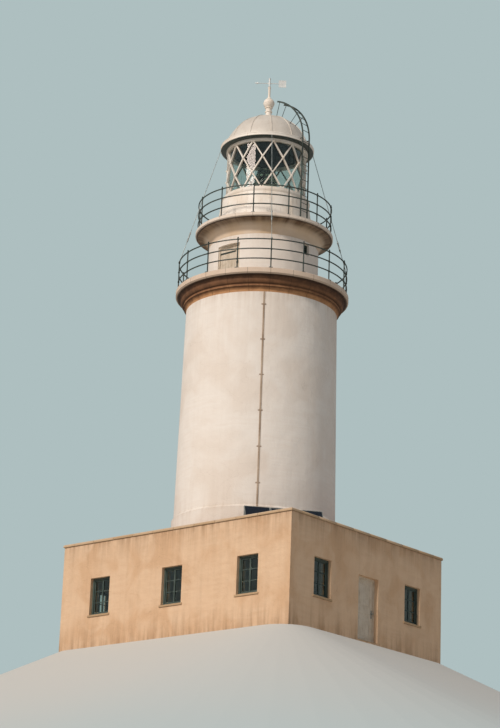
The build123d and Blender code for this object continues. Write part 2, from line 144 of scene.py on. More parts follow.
# A steady number from 0 to 1 for each pair of counts, so every run makes the same stones
def chance(a, b):
    value = math.sin(a * 12.9898 + b * 78.233 + 1.7) * 43758.5453
    return value - math.floor(value)


# Modelling helpers. Everything is deselected before a new primitive is added

def clearSelection():
    if bpy.context.object and bpy.context.object.mode != "OBJECT":
        bpy.ops.object.mode_set(mode="OBJECT")
    bpy.ops.object.select_all(action="DESELECT")


def startPiece(name, operator, **placing):
    clearSelection()
    operator(**placing)
    piece = bpy.context.object
    piece.name = name
    piece.data.name = name
    bpy.ops.object.transform_apply(location=True, rotation=True, scale=True)
    return piece


def activate(piece):
    clearSelection()
    piece.select_set(True)
    bpy.context.view_layer.objects.active = piece


def dropPicks(mesh):
    for group in (mesh.vertices, mesh.edges, mesh.polygons):
        group.foreach_set("select", [False] * len(group))


# Chooses faces by their centre and normal, and leaves the piece in edit mode with them selected
def pickFaces(piece, test):
    activate(piece)
    mesh = piece.data
    dropPicks(mesh)
    for face in mesh.polygons:
        face.select = test(face.center, face.normal)
    bpy.ops.object.mode_set(mode="EDIT")
    bpy.ops.mesh.select_mode(type="FACE")


# Chooses edges by their two ends, in the same way
def pickEdges(piece, test):
    activate(piece)
    mesh = piece.data
    dropPicks(mesh)
    for edge in mesh.edges:
        start, end = (mesh.vertices[i] for i in edge.vertices)
        if test(start.co, end.co):
            edge.select = start.select = end.select = True
    bpy.ops.object.mode_set(mode="EDIT")
    bpy.ops.mesh.select_mode(type="EDGE")


def editAll(piece, kind="FACE"):
    activate(piece)
    bpy.ops.object.mode_set(mode="EDIT")
    bpy.ops.mesh.select_mode(type=kind)
    bpy.ops.mesh.select_all(action="SELECT")


def endEdit():
    bpy.ops.object.mode_set(mode="OBJECT")


def cleanNormals(piece):
    editAll(piece)
    bpy.ops.mesh.remove_doubles(threshold=0.0002)
    bpy.ops.mesh.normals_make_consistent(inside=False)
    endEdit()


# Bevels the edges that turn by more than 35 degrees
def bevelPiece(piece, width):
    bevel = piece.modifiers.new("edges", "BEVEL")
    bevel.width = width
    bevel.segments = 1
    bevel.limit_method = "ANGLE"
    bevel.angle_limit = math.radians(35)
    activate(piece)
    bpy.ops.object.modifier_apply(modifier=bevel.name)


def thickenPiece(piece, thickness, offset=0.0):
    wall = piece.modifiers.new("wall", "SOLIDIFY")
    wall.thickness = thickness
    wall.offset = offset
    activate(piece)
    bpy.ops.object.modifier_apply(modifier=wall.name)


def placedCopy(piece, matrix, tone=None):
    copy = piece.copy()
    copy.data = piece.data.copy()
    bpy.context.collection.objects.link(copy)
    copy.data.transform(matrix)
    if tone is not None:
        setTone(copy, lambda face: tone)
    return copy


# A tone on each face tells the material which stone or tile it belongs to
def setTone(piece, choose):
    tones = piece.data.attributes.new("tone", "FLOAT", "FACE")
    for face in piece.data.polygons:
        tones.data[face.index].value = choose(face)


def joinPieces(pieces, name):
    clearSelection()
    for piece in pieces:
        piece.select_set(True)
    bpy.context.view_layer.objects.active = pieces[0]
    if len(pieces) > 1:
        bpy.ops.object.join()
    whole = bpy.context.object
    whole.name = name
    whole.data.name = name
    return whole


# Copies a piece to each place, and removes the one it was modelled as
def repeatPiece(piece, matrices, name, tones=None):
    tones = tones or [None] * len(matrices)
    copies = [placedCopy(piece, matrix, tone) for matrix, tone in zip(matrices, tones)]
    bpy.data.objects.remove(piece)
    return joinPieces(copies, name)


def moved(x, y, z):
    return Matrix.Translation((x, y, z))


def turned(angle, axis="Z"):
    return Matrix.Rotation(math.radians(angle), 4, axis)


# Turns that space a number of copies evenly round the axis
def turnsRound(count, first=0.0):
    return [turned(360 / count * (k + first)) for k in range(count)]


def finishPiece(piece, finish, body="tower", smooth=35):
    activate(piece)
    bpy.ops.object.shade_smooth_by_angle(angle=math.radians(smooth))
    piece.data.materials.clear()
    piece.data.materials.append(finishes[finish])
    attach(piece, body)
    return piece


def blockPiece(name, low, high, bevel=0.0):
    centre = [(a + b) / 2 for a, b in zip(low, high)]
    size = [b - a for a, b in zip(low, high)]
    piece = startPiece(name, bpy.ops.mesh.primitive_cube_add, size=1, location=centre, scale=size)
    if bevel:
        bevelPiece(piece, bevel)
    return piece


def extrudeFaces(move):
    bpy.ops.mesh.extrude_region_move(TRANSFORM_OT_translate={"value": move})


def extrudeEdges(move):
    bpy.ops.mesh.extrude_edges_move(TRANSFORM_OT_translate={"value": move})


# A turned piece is drawn ring by ring from its first circle. A radius of 0 closes it to a point
def turnPiece(name, rings, segments=64, closed=False):
    if closed:
        rings = rings + rings[:1]
    radius = max(rings[0][0], 0.0001)
    height = rings[0][1]
    piece = startPiece(name, bpy.ops.mesh.primitive_circle_add, vertices=segments, radius=radius,
                       location=(0, 0, height), fill_type="NOTHING")
    editAll(piece, "EDGE")
    for nextRadius, nextHeight in rings[1:]:
        nextRadius = max(nextRadius, 0.0001)
        extrudeEdges((0, 0, nextHeight - height))
        share = nextRadius / radius
        bpy.ops.transform.resize(value=(share, share, 1), center_override=(0, 0, nextHeight))
        radius, height = nextRadius, nextHeight
    endEdit()
    cleanNormals(piece)
    return piece


# A hexagon bolt head with the end of its thread, standing on z = 0
def boltPiece(name, radius, height):
    piece = startPiece(name, bpy.ops.mesh.primitive_circle_add, vertices=6, radius=radius, fill_type="NGON")
    editAll(piece)
    extrudeFaces((0, 0, height * 0.7))
    bpy.ops.mesh.inset(thickness=radius * 0.12, depth=height * 0.1)
    bpy.ops.mesh.inset(thickness=radius * 0.35)
    extrudeFaces((0, 0, height * 0.3))
    endEdit()
    cleanNormals(piece)
    return piece


# Camera, floor and light

view = {
    "distance": 79.95,      # metres from the tower's axis, as the photograph was taken
    "height": -14.83,       # below the foot of the house, on the slope
    "bearing": 220.0,       # degrees round the tower from +X
    "aim": (-0.35, 10.75),  # metres right of the axis, and height, at the middle of the frame
    "roll": 2.1,
    "frameHeight": 26.2,    # metres of height that the frame takes in at the tower
    "sensor": 36.0,         # millimetres
    "clipEnd": 2000.0,
}


def makeCamera():
    turn = math.radians(view["bearing"])
    place = Vector((view["distance"] * math.cos(turn), view["distance"] * math.sin(turn), view["height"]))
    right = Vector((-math.sin(turn), math.cos(turn), 0))
    aim = right * view["aim"][0] + Vector((0, 0, view["aim"][1]))
    data = bpy.data.cameras.new("photoCamera")
    camera = bpy.data.objects.new("photoCamera", data)
    bpy.context.collection.objects.link(camera)
    line = aim - place
    rotation = line.to_track_quat("-Z", "Y").to_matrix().to_4x4()
    camera.matrix_world = Matrix.Translation(place) @ rotation @ turned(view["roll"])
    data.sensor_fit = "VERTICAL"
    data.sensor_height = view["sensor"]
    data.lens = view["sensor"] * line.length / view["frameHeight"]
    data.clip_end = view["clipEnd"]
    bpy.context.scene.camera = camera


stage = {
    "backdrop": "#AEBFC0",
    "floor": "#CFCFC9",
    "floorRadius": 600.0,
    "floorLevel": -0.004,
    "groundLevel": -0.003,
    "clearRadius": 7.0,      # the ground keeps its own shade out to here
    "fadeRadius": 26.0,      # and is the backdrop's colour from here
    "moundEdge": 0.35,       # how far the level ground runs out past the walls
    "moundCorner": 1.1,      # metres, how far its corners are rounded off
    "moundDrop": 26.0,       # degrees, the slope that the photograph looks up
    "moundReach": 90.0,      # metres, how far the slope runs
    "skyStrength": 0.3,
    "mirrorStrength": 0.5,   # the sky behind the camera is darker, and the panes mirror that
    "skyColour": "#EEF4FF",
    "sunStrength": 2.02,
    "sunColour": "#FFF4E9",
    "sunBearing": 182.0,
    "sunHeight": 36.0,
    "sunSpread": 7.0,
    "cloudBearing": 171.0,   # a bright cloud low beside the sun, which the lantern's panes reflect
    "cloudHeight": 21.0,
    "cloudDistance": 120.0,
    "cloudSize": (54.0, 15.0),
    "cloudLift": 18.0,       # metres up the tower, the point that it is aimed at
    "cloudColour": "#FFE8DC",
    "cloudPower": 21000.0,
}


def makeStage():
    scene = bpy.context.scene
    scene.view_settings.view_transform = "Standard"
    world = bpy.data.worlds.new("studio")
    scene.world = world
    world.use_nodes = True
    tree = world.node_tree
    tree.nodes.clear()
    path = addNode(tree, "ShaderNodeLightPath").outputs
    seen = reckon(tree, "MAXIMUM", path["Is Camera Ray"], path["Is Transmission Ray"])
    light = glow(tree, stage["skyColour"], stage["skyStrength"])
    mirrored = glow(tree, stage["backdrop"], stage["mirrorStrength"])
    shown = glow(tree, stage["backdrop"], 1.0)
    sky = blendSurfaces(tree, path["Is Glossy Ray"], light, mirrored)
    addNode(tree, "ShaderNodeOutputWorld", {"Surface": blendSurfaces(tree, seen, sky, shown)})

    lamp = bpy.data.lights.new("softSun", "SUN")
    lamp.energy = stage["sunStrength"]
    lamp.color = linearColour(stage["sunColour"])[:3]
    lamp.angle = math.radians(stage["sunSpread"])
    sun = bpy.data.objects.new("softSun", lamp)
    bpy.context.collection.objects.link(sun)
    sun.rotation_euler = towards(stage["sunBearing"], stage["sunHeight"]).to_track_quat("Z", "Y").to_euler()

    panel = bpy.data.lights.new("brightCloud", "AREA")
    panel.shape = "RECTANGLE"
    panel.size, panel.size_y = stage["cloudSize"]
    panel.energy = stage["cloudPower"]
    panel.color = linearColour(stage["cloudColour"])[:3]
    cloud = bpy.data.objects.new("brightCloud", panel)
    bpy.context.collection.objects.link(cloud)
    line = towards(stage["cloudBearing"], stage["cloudHeight"])
    spot = line * stage["cloudDistance"] + Vector((0, 0, stage["cloudLift"]))
    cloud.matrix_world = Matrix.Translation(spot) @ line.to_track_quat("Z", "Y").to_matrix().to_4x4()

    # The floor is seen from above only, and from below it is clear
    floor = startPiece("floor", bpy.ops.mesh.primitive_circle_add, vertices=96, radius=stage["floorRadius"],
                       location=(0, 0, stage["floorLevel"]), fill_type="NGON")
    floor.data.materials.append(floorMaterial(True))
    # The house stands on top of a pale slope, because the photograph looks up at it
    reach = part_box("right_wall")[1].x + stage["moundEdge"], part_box("back_wall")[1].y + stage["moundEdge"]
    ground = blockPiece("ground", (-reach[0], -reach[1], -1.0), (reach[0], reach[1], stage["groundLevel"]))
    pickFaces(ground, lambda centre, normal: normal.z < -0.5)
    bpy.ops.mesh.delete(type="ONLY_FACE")
    endEdit()
    pickEdges(ground, lambda start, end: abs(start.z - end.z) > 0.5)
    bpy.ops.mesh.bevel(offset=stage["moundCorner"], segments=12, affect="EDGES")
    endEdit()
    fall = stage["moundReach"] * math.tan(math.radians(stage["moundDrop"]))
    inner = [half - stage["moundCorner"] for half in reach]
    for vertex in ground.data.vertices:
        if vertex.co.z < -0.5:
            core = [max(-half, min(half, value)) for value, half in zip(vertex.co, inner)]
            out = Vector((vertex.co.x - core[0], vertex.co.y - core[1], 0)).normalized()
            vertex.co += out * stage["moundReach"] - Vector((0, 0, fall - 1.0))
    activate(ground)
    bpy.ops.object.shade_smooth_by_angle(angle=math.radians(12))
    ground.data.materials.append(floorMaterial(False))


def towards(bearing, height):
    turn = math.radians(bearing)
    rise = math.radians(height)
    return Vector((math.cos(turn) * math.cos(rise), math.sin(turn) * math.cos(rise), math.sin(rise)))


# Pale matt paper, which fades to the backdrop's colour far out for the camera alone
def floorMaterial(clearBelow):
    looks = {"Base Color": stage["floor"], "Roughness": 0.9, "Specular IOR Level": 0.2}
    material, tree, shader, point = newMaterial("palePaper", looks)
    reach = addNode(tree, "ShaderNodeVectorMath", {0: point}, operation="LENGTH").outputs["Value"]
    span = {"Value": reach, "From Min": stage["clearRadius"], "From Max": stage["fadeRadius"]}
    fade = addNode(tree, "ShaderNodeMapRange", span, interpolation_type="SMOOTHSTEP").outputs[0]
    far = addNode(tree, "ShaderNodeEmission", {"Color": stage["backdrop"]}).outputs[0]
    seen = reckon(tree, "MULTIPLY", fade, addNode(tree, "ShaderNodeLightPath").outputs["Is Camera Ray"])
    top = blendSurfaces(tree, seen, shader.outputs[0], far)
    if clearBelow:
        clear = addNode(tree, "ShaderNodeBsdfTransparent").outputs[0]
        below = addNode(tree, "ShaderNodeNewGeometry").outputs["Backfacing"]
        top = blendSurfaces(tree, below, top, clear)
    feed(tree, tree.nodes["Material Output"], {"Surface": top})
    return material


makeCamera()
makeStage()
print("camera, floor and light made")


# Wall finishes. Limewash over lime render, trowelled by hand: chalky, softly uneven, with map cracks and
# brown run-off under each cornice. Heights are in metres from the ground, dirt is from 0 to 1
limewash = {
    "colour": "#F3EDE4",
    "patch": "#EBE1D5",
    "stain": "#B2977C",
    "crack": "#9A8A76",
    "patchSize": 1.6,
    "streakWidth": 0.16,
    "streakLength": 3.5,
    "brushWidth": 0.09,
    "gritSize": 0.045,      # real grit is 4 mm, drawn this coarse so that it shows
    "trowelSize": 0.5,
    "crackSize": 0.5,
    "round": 2.8,           # metres, the radius that the streaks are spaced on
    "bump": 0.55,
    "streakFloor": 0.18,    # the least of the dirt that shows between streaks
    "dirt": [(3.4, 0.6), (3.7, 0.24), (4.6, 0.1), (4.8, 0.34), (4.95, 0.1), (6.4, 0.04), (11.0, 0.05),
             (12.2, 0.16), (12.57, 0.42), (13.34, 0.36), (13.55, 0.05), (14.6, 0.04), (15.03, 0.2),
             (15.5, 0.4)],
}
# House render, an ochre lime wash weathered to pinkish tan, drier and rougher than the tower's
houseRender = {
    "colour": "#E6C7A6",
    "patch": "#DAB692",
    "stain": "#8E6D50",
    "crack": "#7A6048",
    "patchSize": 1.1,
    "streakWidth": 0.2,
    "streakLength": 2.2,
    "brushWidth": 0.12,
    "gritSize": 0.05,
    "trowelSize": 0.4,
    "crackSize": 0.45,
    "round": 0,             # its walls are flat
    "bump": 0.8,
    "streakFloor": 0.18,
    "dirt": [(0.0, 0.8), (0.35, 0.42), (0.9, 0.12), (2.9, 0.1), (3.5, 0.35), (3.75, 0.65)],
}


# The upper gallery's hollow, in the deck's shade: peach limewash darkening to near-black brown out to its rim,
# partly soot and run-off and partly painted shadow of the deck's nosing
coveSootAndShade = dict(limewash)
coveSootAndShade.update({
    "colour": "#E6D3BD",
    "patch": "#D9BF9F",
    # The near-black brown stain, spread almost all over by the high streak floor, is partly soot and partly
    # painted shade under the deck
    "stain": "#4A3424",
    "streakWidth": 0.3,
    "streakFloor": 0.72,
    # Darker towards the rim: painted shadow of the deck's nosing as well as soot
    "dirt": [(15.0, 0.2), (15.1, 0.04), (15.3, 0.08), (15.39, 0.38), (15.45, 0.85), (15.53, 1.0)],
})


def wallFinish(name, look):
    material, tree, shader, point = newMaterial(name, {"Roughness": 0.9, "Specular IOR Level": 0.25})
    rise = axesOf(tree, point)[2]
    patches = ranged(tree, noise(tree, point, 1 / look["patchSize"], 4.0, distortion=0.5), 0.42, 0.62)
    brush = noise(tree, stretched(tree, point, (1.2, 1.2, 1 / look["brushWidth"])), 1.0, 3.0)
    brush = ranged(tree, brush, 0.35, 0.75, 0.0, 0.5)
    coat = blend(tree, reckon(tree, "MAXIMUM", patches, brush), look["colour"], look["patch"])

    # Dirt by height, broken into streaks that run down the wall
    foot, head = look["dirt"][0][0], look["dirt"][-1][0]
    stops = [((height - foot) / (head - foot), amount) for height, amount in look["dirt"]]
    dirt = ramp(tree, ranged(tree, rise, foot, head), stops)
    drawn = point
    if look["round"]:
        # Round the tower a streak keeps its bearing, so it runs out along the underside of a gallery too
        bearing = reckonVector(tree, "NORMALIZE", reckonVector(tree, "MULTIPLY", point, (1.0, 1.0, 0.0)))
        upright = addNode(tree, "ShaderNodeCombineXYZ", {2: rise}).outputs[0]
        drawn = reckonVector(tree, "MULTIPLY_ADD", bearing, (look["round"],) * 3, upright)
    size = (1 / look["streakWidth"], 1 / look["streakWidth"], 1 / look["streakLength"])
    streak = noise(tree, stretched(tree, drawn, size), 1.0, 4.0, 0.6)
    streak = ranged(tree, streak, 0.4, 0.68, look["streakFloor"])
    stained = blend(tree, reckon(tree, "MULTIPLY", streak, dirt), coat, look["stain"])

    # Map cracks in some patches, and grit all over
    bent = addNode(tree, "ShaderNodeTexNoise", {"Vector": point, "Scale": 3.0, "Detail": 3.0})
    bent = reckonVector(tree, "MULTIPLY_ADD", bent.outputs["Color"], (0.22, 0.22, 0.22), point)
    cracks = cellular(tree, bent, 1 / look["crackSize"], 0, "DISTANCE_TO_EDGE")
    cracks = reckon(tree, "MULTIPLY", ranged(tree, cracks, 0.008, 0.001, 0.0, 0.2), patches)
    grit = noise(tree, point, 1 / look["gritSize"], 3.0)
    trowel = noise(tree, point, 1 / look["trowelSize"], 2.0)
    height = reckon(tree, "SUBTRACT", reckon(tree, "MULTIPLY_ADD", trowel, 4.0, grit), cracks)
    body = blend(tree, cracks, stained, look["crack"])
    feed(tree, shader, {"Base Color": body, "Normal": relief(tree, height, look["bump"], 0.012)})
    return material


# Cut stone: the gallery's brown sandstone cornice, the decks' pale sandstone and the coping's stones.
# Open-grained and mottled, with dark joints, paler and dusty where rain reaches, and darkened beneath with soot
# and painted shade
cornice = {
    "low": "#BC8D63",       # the lowest moulding is washed orange
    "middle": "#8A6244",
    "high": "#523A2B",      # under the deck it is nearly black: soot and lichen, and painted shadow of the deck
    "dust": "#8C735A",
    "sootAndShade": "#2E2119",
    "hollow": "#3A2C20",
    "joints": 24,
    "round": 3.0,           # metres, the radius that a joint's width is measured at
    "jointWidth": 0.008,
    "mottle": 0.3,
    "pits": 0.035,
    "bump": 0.9,
}
galleryStone = {
    "low": "#DAC5B0",
    "middle": "#E4D3C1",
    "high": "#EADCCC",
    "dust": "#D6C9B6",
    "sootAndShade": "#4A3628",
    "hollow": "#3A2C20",
    "heights": (13.0, 15.7),    # metres, between which its colour goes from low to high
    "joints": 24,
    "round": 3.0,
    "jointWidth": 0.007,
    "mottle": 0.45,
    "pits": 0.03,
    "bump": 0.6,
}
copingStone = {
    "low": "#B79A78",
    "middle": "#C3A684",
    "high": "#CBB193",
    "dust": "#D6C5AC",
    "sootAndShade": "#7D664F",
    "hollow": "#3A2C20",
    "joints": 0,            # its stones are modelled one by one
    "mottle": 0.5,
    "pits": 0.05,
    "bump": 0.7,
}


def stoneFinish(name, look, foot, head):
    material, tree, shader, point = newMaterial(name, {"Roughness": 0.86, "Specular IOR Level": 0.3})
    axes = axesOf(tree, point)
    mottle = noise(tree, point, 1 / look["mottle"], 6.0, 0.65)
    shift = reckon(tree, "ADD", mottle, -0.5)
    level = reckon(tree, "MULTIPLY_ADD", shift, 0.9, ranged(tree, axes[2], foot, head))
    if not look["joints"]:
        level = reckon(tree, "ADD", level, reckon(tree, "MULTIPLY_ADD", toneOf(tree), 0.8, -0.4))
    body = ramp(tree, level, [(0.05, look["low"]), (0.42, look["middle"]), (0.95, look["high"])])

    # Faces that look down are darkened: soot, and painted shade on the undersides. Dust settles where it faces
    # up
    upward = axesOf(tree, addNode(tree, "ShaderNodeNewGeometry").outputs["Normal"])[2]
    body = blend(tree, ranged(tree, upward, -0.6, -0.95, 0.0, 0.85), body, look["sootAndShade"])
    dust = reckon(tree, "MULTIPLY", ranged(tree, upward, 0.35, 0.95, 0.0, 0.7), mottle)
    body = blend(tree, dust, body, look["dust"])
    sunk = ranged(tree, cellular(tree, point, 1 / look["pits"], 0), 0.24, 0.08, 0.0, 0.36)
    if look["joints"]:
        # Joints are spaced evenly round the tower
        turn = reckon(tree, "ARCTAN2", axes[1], axes[0])
        turn = reckon(tree, "MULTIPLY", turn, look["joints"] / (2 * math.pi))
        near = reckon(tree, "PINGPONG", turn, 0.5)
        share = look["jointWidth"] / (2 * math.pi * look["round"] / look["joints"])
        sunk = reckon(tree, "MAXIMUM", sunk, ranged(tree, near, share * 2.0, share * 0.8, 0.0, 0.45))
    height = reckon(tree, "MULTIPLY_ADD", mottle, 0.8, sunk)
    body = blend(tree, sunk, body, look["hollow"])
    feed(tree, shader, {"Base Color": body, "Normal": relief(tree, height, look["bump"], -0.01)})
    return material


# Terracotta tiles, pressed and fired: each tile a little lighter or darker, salts bloom in patches, with
# grey mortar between
terracotta = {
    "pale": "#BE8B6C",
    "middle": "#A8714F",
    "dark": "#87573E",
    "salts": "#C9B6A4",
    "mortar": "#9A8F82",
    "grain": 0.03,
}


def terracottaFinish(name, look):
    material, tree, shader, point = newMaterial(name, {"Roughness": 0.8})
    tone = toneOf(tree)
    shade = reckon(tree, "MULTIPLY_ADD", tone, 0.6, noise(tree, point, 1.4, 5.0))
    body = ramp(tree, shade, [(0.35, look["dark"]), (0.65, look["middle"]), (1.0, look["pale"])])
    bloom = ranged(tree, noise(tree, point, 3.2, 6.0, 0.7), 0.52, 0.75, 0.0, 0.7)
    body = blend(tree, bloom, body, look["salts"])
    body = blend(tree, reckon(tree, "LESS_THAN", tone, -0.5), body, look["mortar"])
    grain = noise(tree, point, 1 / look["grain"], 4.0)
    feed(tree, shader, {"Base Color": body, "Normal": relief(tree, grain, 0.4, 0.004)})
    return material


# Cement screed for the floors indoors and under the tiles: grey-brown, clouded, worn smooth
screed = {"dark": "#857868", "middle": "#9C8E7B", "pale": "#AFA28F"}


def screedFinish(name, look):
    material, tree, shader, point = newMaterial(name)
    clouds = noise(tree, point, 1.1, 7.0, 0.6)
    body = ramp(tree, clouds, [(0.35, look["dark"]), (0.55, look["middle"]), (0.75, look["pale"])])
    wear = ranged(tree, clouds, 0.0, 1.0, 0.6, 0.92)
    grain = noise(tree, point, 28.0, 3.0)
    feed(tree, shader, {"Base Color": body, "Roughness": wear, "Normal": relief(tree, grain, 0.3, 0.004)})
    return material


# Brushed oil paint on iron. It is semi-gloss where sound, chalky where the sun has had it, with rust at
# chips and thin rusty runs below them
whiteEnamel = {
    "colour": "#F8F1E6",
    "chalk": "#EFE3D3",
    "rust": "#9A5B33",
    "runs": "#B58F6C",
    "rusty": 0.66,          # chips show where the noise is over this
    "runAmount": 0.35,
    "chipSize": 0.1,
    "runWidth": 0.1,
    "runLength": 0.9,
    "gloss": 0.5,
    "dull": 0.68,
}
ironPaint = {
    "colour": "#26332F",
    "chalk": "#3E4B45",
    "rust": "#6F432B",
    "runs": "#4A3D30",
    "rusty": 0.6,
    "runAmount": 0.6,
    "chipSize": 0.06,
    "runWidth": 0.05,
    "runLength": 0.5,
    "gloss": 0.38,
    "dull": 0.62,
}


# The dome's enamel has gone grey and chalky, as it faces the weather
domeEnamel = dict(whiteEnamel)
domeEnamel.update({"colour": "#DFD8CD", "chalk": "#CFC7BB", "runs": "#A58D74", "gloss": 0.42, "dull": 0.62})
# The conductor's strap was limewashed with the wall, and shows brown through what is left of it
strapPaint = dict(ironPaint)
strapPaint.update({"colour": "#A18B75", "chalk": "#BFAB96", "rust": "#8A6A52", "runs": "#917861",
                   "rusty": 0.58})


def paintFinish(name, look):
    material, tree, shader, point = newMaterial(name)
    chalk = ranged(tree, noise(tree, point, 1.7, 5.0), 0.4, 0.66)
    body = blend(tree, chalk, look["colour"], look["chalk"])
    size = (1 / look["runWidth"], 1 / look["runWidth"], 1 / look["runLength"])
    runs = noise(tree, stretched(tree, point, size), 1.0, 5.0, 0.65)
    body = blend(tree, ranged(tree, runs, 0.56, 0.74, 0.0, look["runAmount"]), body, look["runs"])
    chips = noise(tree, point, 1 / look["chipSize"], 8.0, 0.72)
    chips = ranged(tree, chips, look["rusty"], look["rusty"] + 0.05)
    body = blend(tree, chips, body, look["rust"])
    rough = ranged(tree, chalk, 0.0, 1.0, look["gloss"], look["dull"])
    rough = reckon(tree, "MULTIPLY_ADD", chips, 0.3, rough)
    height = reckon(tree, "MULTIPLY_ADD", chips, -1.5, noise(tree, point, 22.0, 2.0))
    feed(tree, shader, {"Base Color": body, "Roughness": rough, "Normal": relief(tree, height, 0.35, 0.002)})
    return material


# Hot-dipped zinc: grey spangle in 25 mm leaves, dull, with white oxide and a little rust
galvanised = {
    "light": "#B4B9B8",
    "dark": "#7E8584",
    "oxide": "#C9CBC6",
    "rust": "#8A6A50",
    "spangle": 0.025,
    "metal": 0.75,
}
# The vane's plate is near white: partly white oxide, partly a painted sun highlight that makes it the brightest
# spot
vaneOxideAndHighlight = dict(galvanised)
vaneOxideAndHighlight.update({"light": "#E4E6E4", "dark": "#D3D6D4", "oxide": "#ECECE8", "rust": "#C2B5A6", "metal": 0.25})


def zincFinish(name, look):
    material, tree, shader, point = newMaterial(name, {"Metallic": look["metal"]})
    leaves = cellular(tree, point, 1 / look["spangle"], "Color")
    body = ramp(tree, leaves, [(0.2, look["dark"]), (0.8, look["light"])])
    clouds = noise(tree, point, 2.6, 6.0)
    body = blend(tree, ranged(tree, clouds, 0.5, 0.7, 0.0, 0.6), body, look["oxide"])
    body = blend(tree, ranged(tree, clouds, 0.4, 0.3, 0.0, 0.5), body, look["rust"])
    feed(tree, shader, {"Base Color": body, "Roughness": ranged(tree, clouds, 0.0, 1.0, 0.38, 0.65)})
    return material


# Oil-painted boards: flat sheen, brush marks along the grain, and worn in patches
def boardFinish(name, colour, worn):
    material, tree, shader, point = newMaterial(name)
    grain = noise(tree, stretched(tree, point, (40.0, 40.0, 2.2)), 1.0, 5.0, 0.6)
    wear = ranged(tree, reckon(tree, "MULTIPLY", grain, noise(tree, point, 5.0, 5.0)), 0.2, 0.5)
    body = blend(tree, wear, colour, worn)
    rough = ranged(tree, wear, 0.0, 1.0, 0.42, 0.7)
    feed(tree, shader, {"Base Color": body, "Roughness": rough, "Normal": relief(tree, grain, 0.4, 0.002)})
    return material


# Drawn sheet glass: clear, faintly green, with a salt film that dulls it in patches
def glassFinish(name, tint, filmColour, film):
    material, tree, shader, point = newMaterial(name, {"Transmission Weight": 1.0, "IOR": 1.5})
    mist = ranged(tree, noise(tree, point, 2.4, 6.0, 0.65), 0.45, 0.75, 0.0, film)
    rough = ranged(tree, mist, 0.0, 1.0, 0.02, 0.05)
    feed(tree, shader, {"Base Color": blend(tree, mist, tint, filmColour), "Roughness": rough})
    return material


# Near-black lining paint inside the dome and the murette: painted shade for the lantern's dark inside. The solar
# sheets take it as their own dark colour
lining = {"dark": "#0D0B0A", "pale": "#1A1613"}


def liningFinish(name, look):
    material, tree, shader, point = newMaterial(name, {"Roughness": 0.75})
    clouds = noise(tree, point, 2.0, 5.0)
    body = ramp(tree, clouds, [(0.35, look["dark"]), (0.7, look["pale"])])
    feed(tree, shader, {"Base Color": body, "Normal": relief(tree, clouds, 0.3, 0.003)})
    return material


# Dark silicon behind glass: near black, blue where it catches the sky
silicon = {"dark": "#0E131D", "pale": "#1A2233"}


def siliconFinish(name, look):
    sheen = {"Roughness": 0.32, "Specular IOR Level": 0.3, "Coat Weight": 0.15, "Coat Roughness": 0.12}
    material, tree, shader, point = newMaterial(name, sheen)
    grain = cellular(tree, point, 30.0, "Color")
    feed(tree, shader, {"Base Color": ramp(tree, grain, [(0.2, look["dark"]), (0.8, look["pale"])])})
    return material


finishes = {
    "limewash": wallFinish("limewashOnRender", limewash),
    "houseRender": wallFinish("ochreHouseRender", houseRender),
    "coveSootAndShade": wallFinish("coveRenderSootAndPaintedShade", coveSootAndShade),
    "cornice": stoneFinish("brownSandstone", cornice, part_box("lower_cornice")[0].z,
                           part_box("lower_cornice")[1].z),
    "galleryStone": stoneFinish("paleGallerySandstone", galleryStone, *galleryStone["heights"]),
    "copingStone": stoneFinish("copingSandstone", copingStone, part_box("coping")[0].z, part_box("coping")[1].z),
    "terracotta": terracottaFinish("terracottaTile", terracotta),
    "screed": screedFinish("cementScreed", screed),
    "whiteEnamel": paintFinish("whiteEnamelOnIron", whiteEnamel),
    "domeEnamel": paintFinish("chalkyEnamelOnDome", domeEnamel),
    "ironPaint": paintFinish("darkGreenPaintOnIron", ironPaint),
    "strapPaint": paintFinish("wornLimewashOnStrap", strapPaint),
    "zinc": zincFinish("hotDippedZinc", galvanised),
    "vaneOxideAndHighlight": zincFinish("whiteOxideZincPaintedHighlight", vaneOxideAndHighlight),
    "doorPaint": boardFinish("creamPaintOnBoards", "#D9CDBB", "#B3A288"),
    "windowPaint": boardFinish("greenPaintOnJoinery", "#3F4E49", "#5F6A62"),
    "clearGlass": glassFinish("drawnSheetGlass", "#DCE6E2", "#B9B3A4", 0.25),
    "lensGlass": glassFinish("castLensGlass", "#C6CBAE", "#7E7A5E", 0.6),
    "lining": liningFinish("blackLiningAndPaintedShade", lining),
    "silicon": siliconFinish("solarSilicon", silicon),
}
print("materials made:", len(finishes))

nodeFinishes = {
    "limewash": ["base_wall_right", "base_wall_back", "base_wall_left", "base_front_piers", "base_over_door",
                 "shaft_wall_right", "shaft_wall_back", "shaft_wall_left", "shaft_wall_front",
                 "watch_wall_right", "watch_wall_back", "watch_wall_left", "watch_wall_front"],
    "coveSootAndShade": ["upper_cornice"],
    "houseRender": ["front_wall", "back_wall", "left_wall", "right_wall"],
    "cornice": ["lower_cornice"],
    "galleryStone": ["lower_deck", "upper_deck"],
    "copingStone": ["coping"],
    "screed": ["roof_slab", "house_floor", "tower_floor"],
    "whiteEnamel": ["murette", "lantern_lattice", "ball_and_mast"],
    "domeEnamel": ["dome"],
    "ironPaint": ["lower_railing", "upper_railing", "eave_ring", "dome_ladder", "optic_pedestal"],
    "strapPaint": ["conductor"],
    "zinc": ["solar_stand", "stays"],
    "vaneOxideAndHighlight": ["vane"],
    "doorPaint": ["entrance_door", "watch_door"],
    "windowPaint": ["window_frames"],
    "clearGlass": ["window_panes", "lantern_glass"],
    "lensGlass": ["optic_lens"],
    "silicon": ["solar_panels"],
}
for finish, names in nodeFinishes.items():
    for name in names:
        node = nodes[name]
        if not node.material_slots:
            node.data.materials.append(finishes[finish])
        for slot in node.material_slots:
            slot.material = finishes[finish]
print("carried nodes finished")


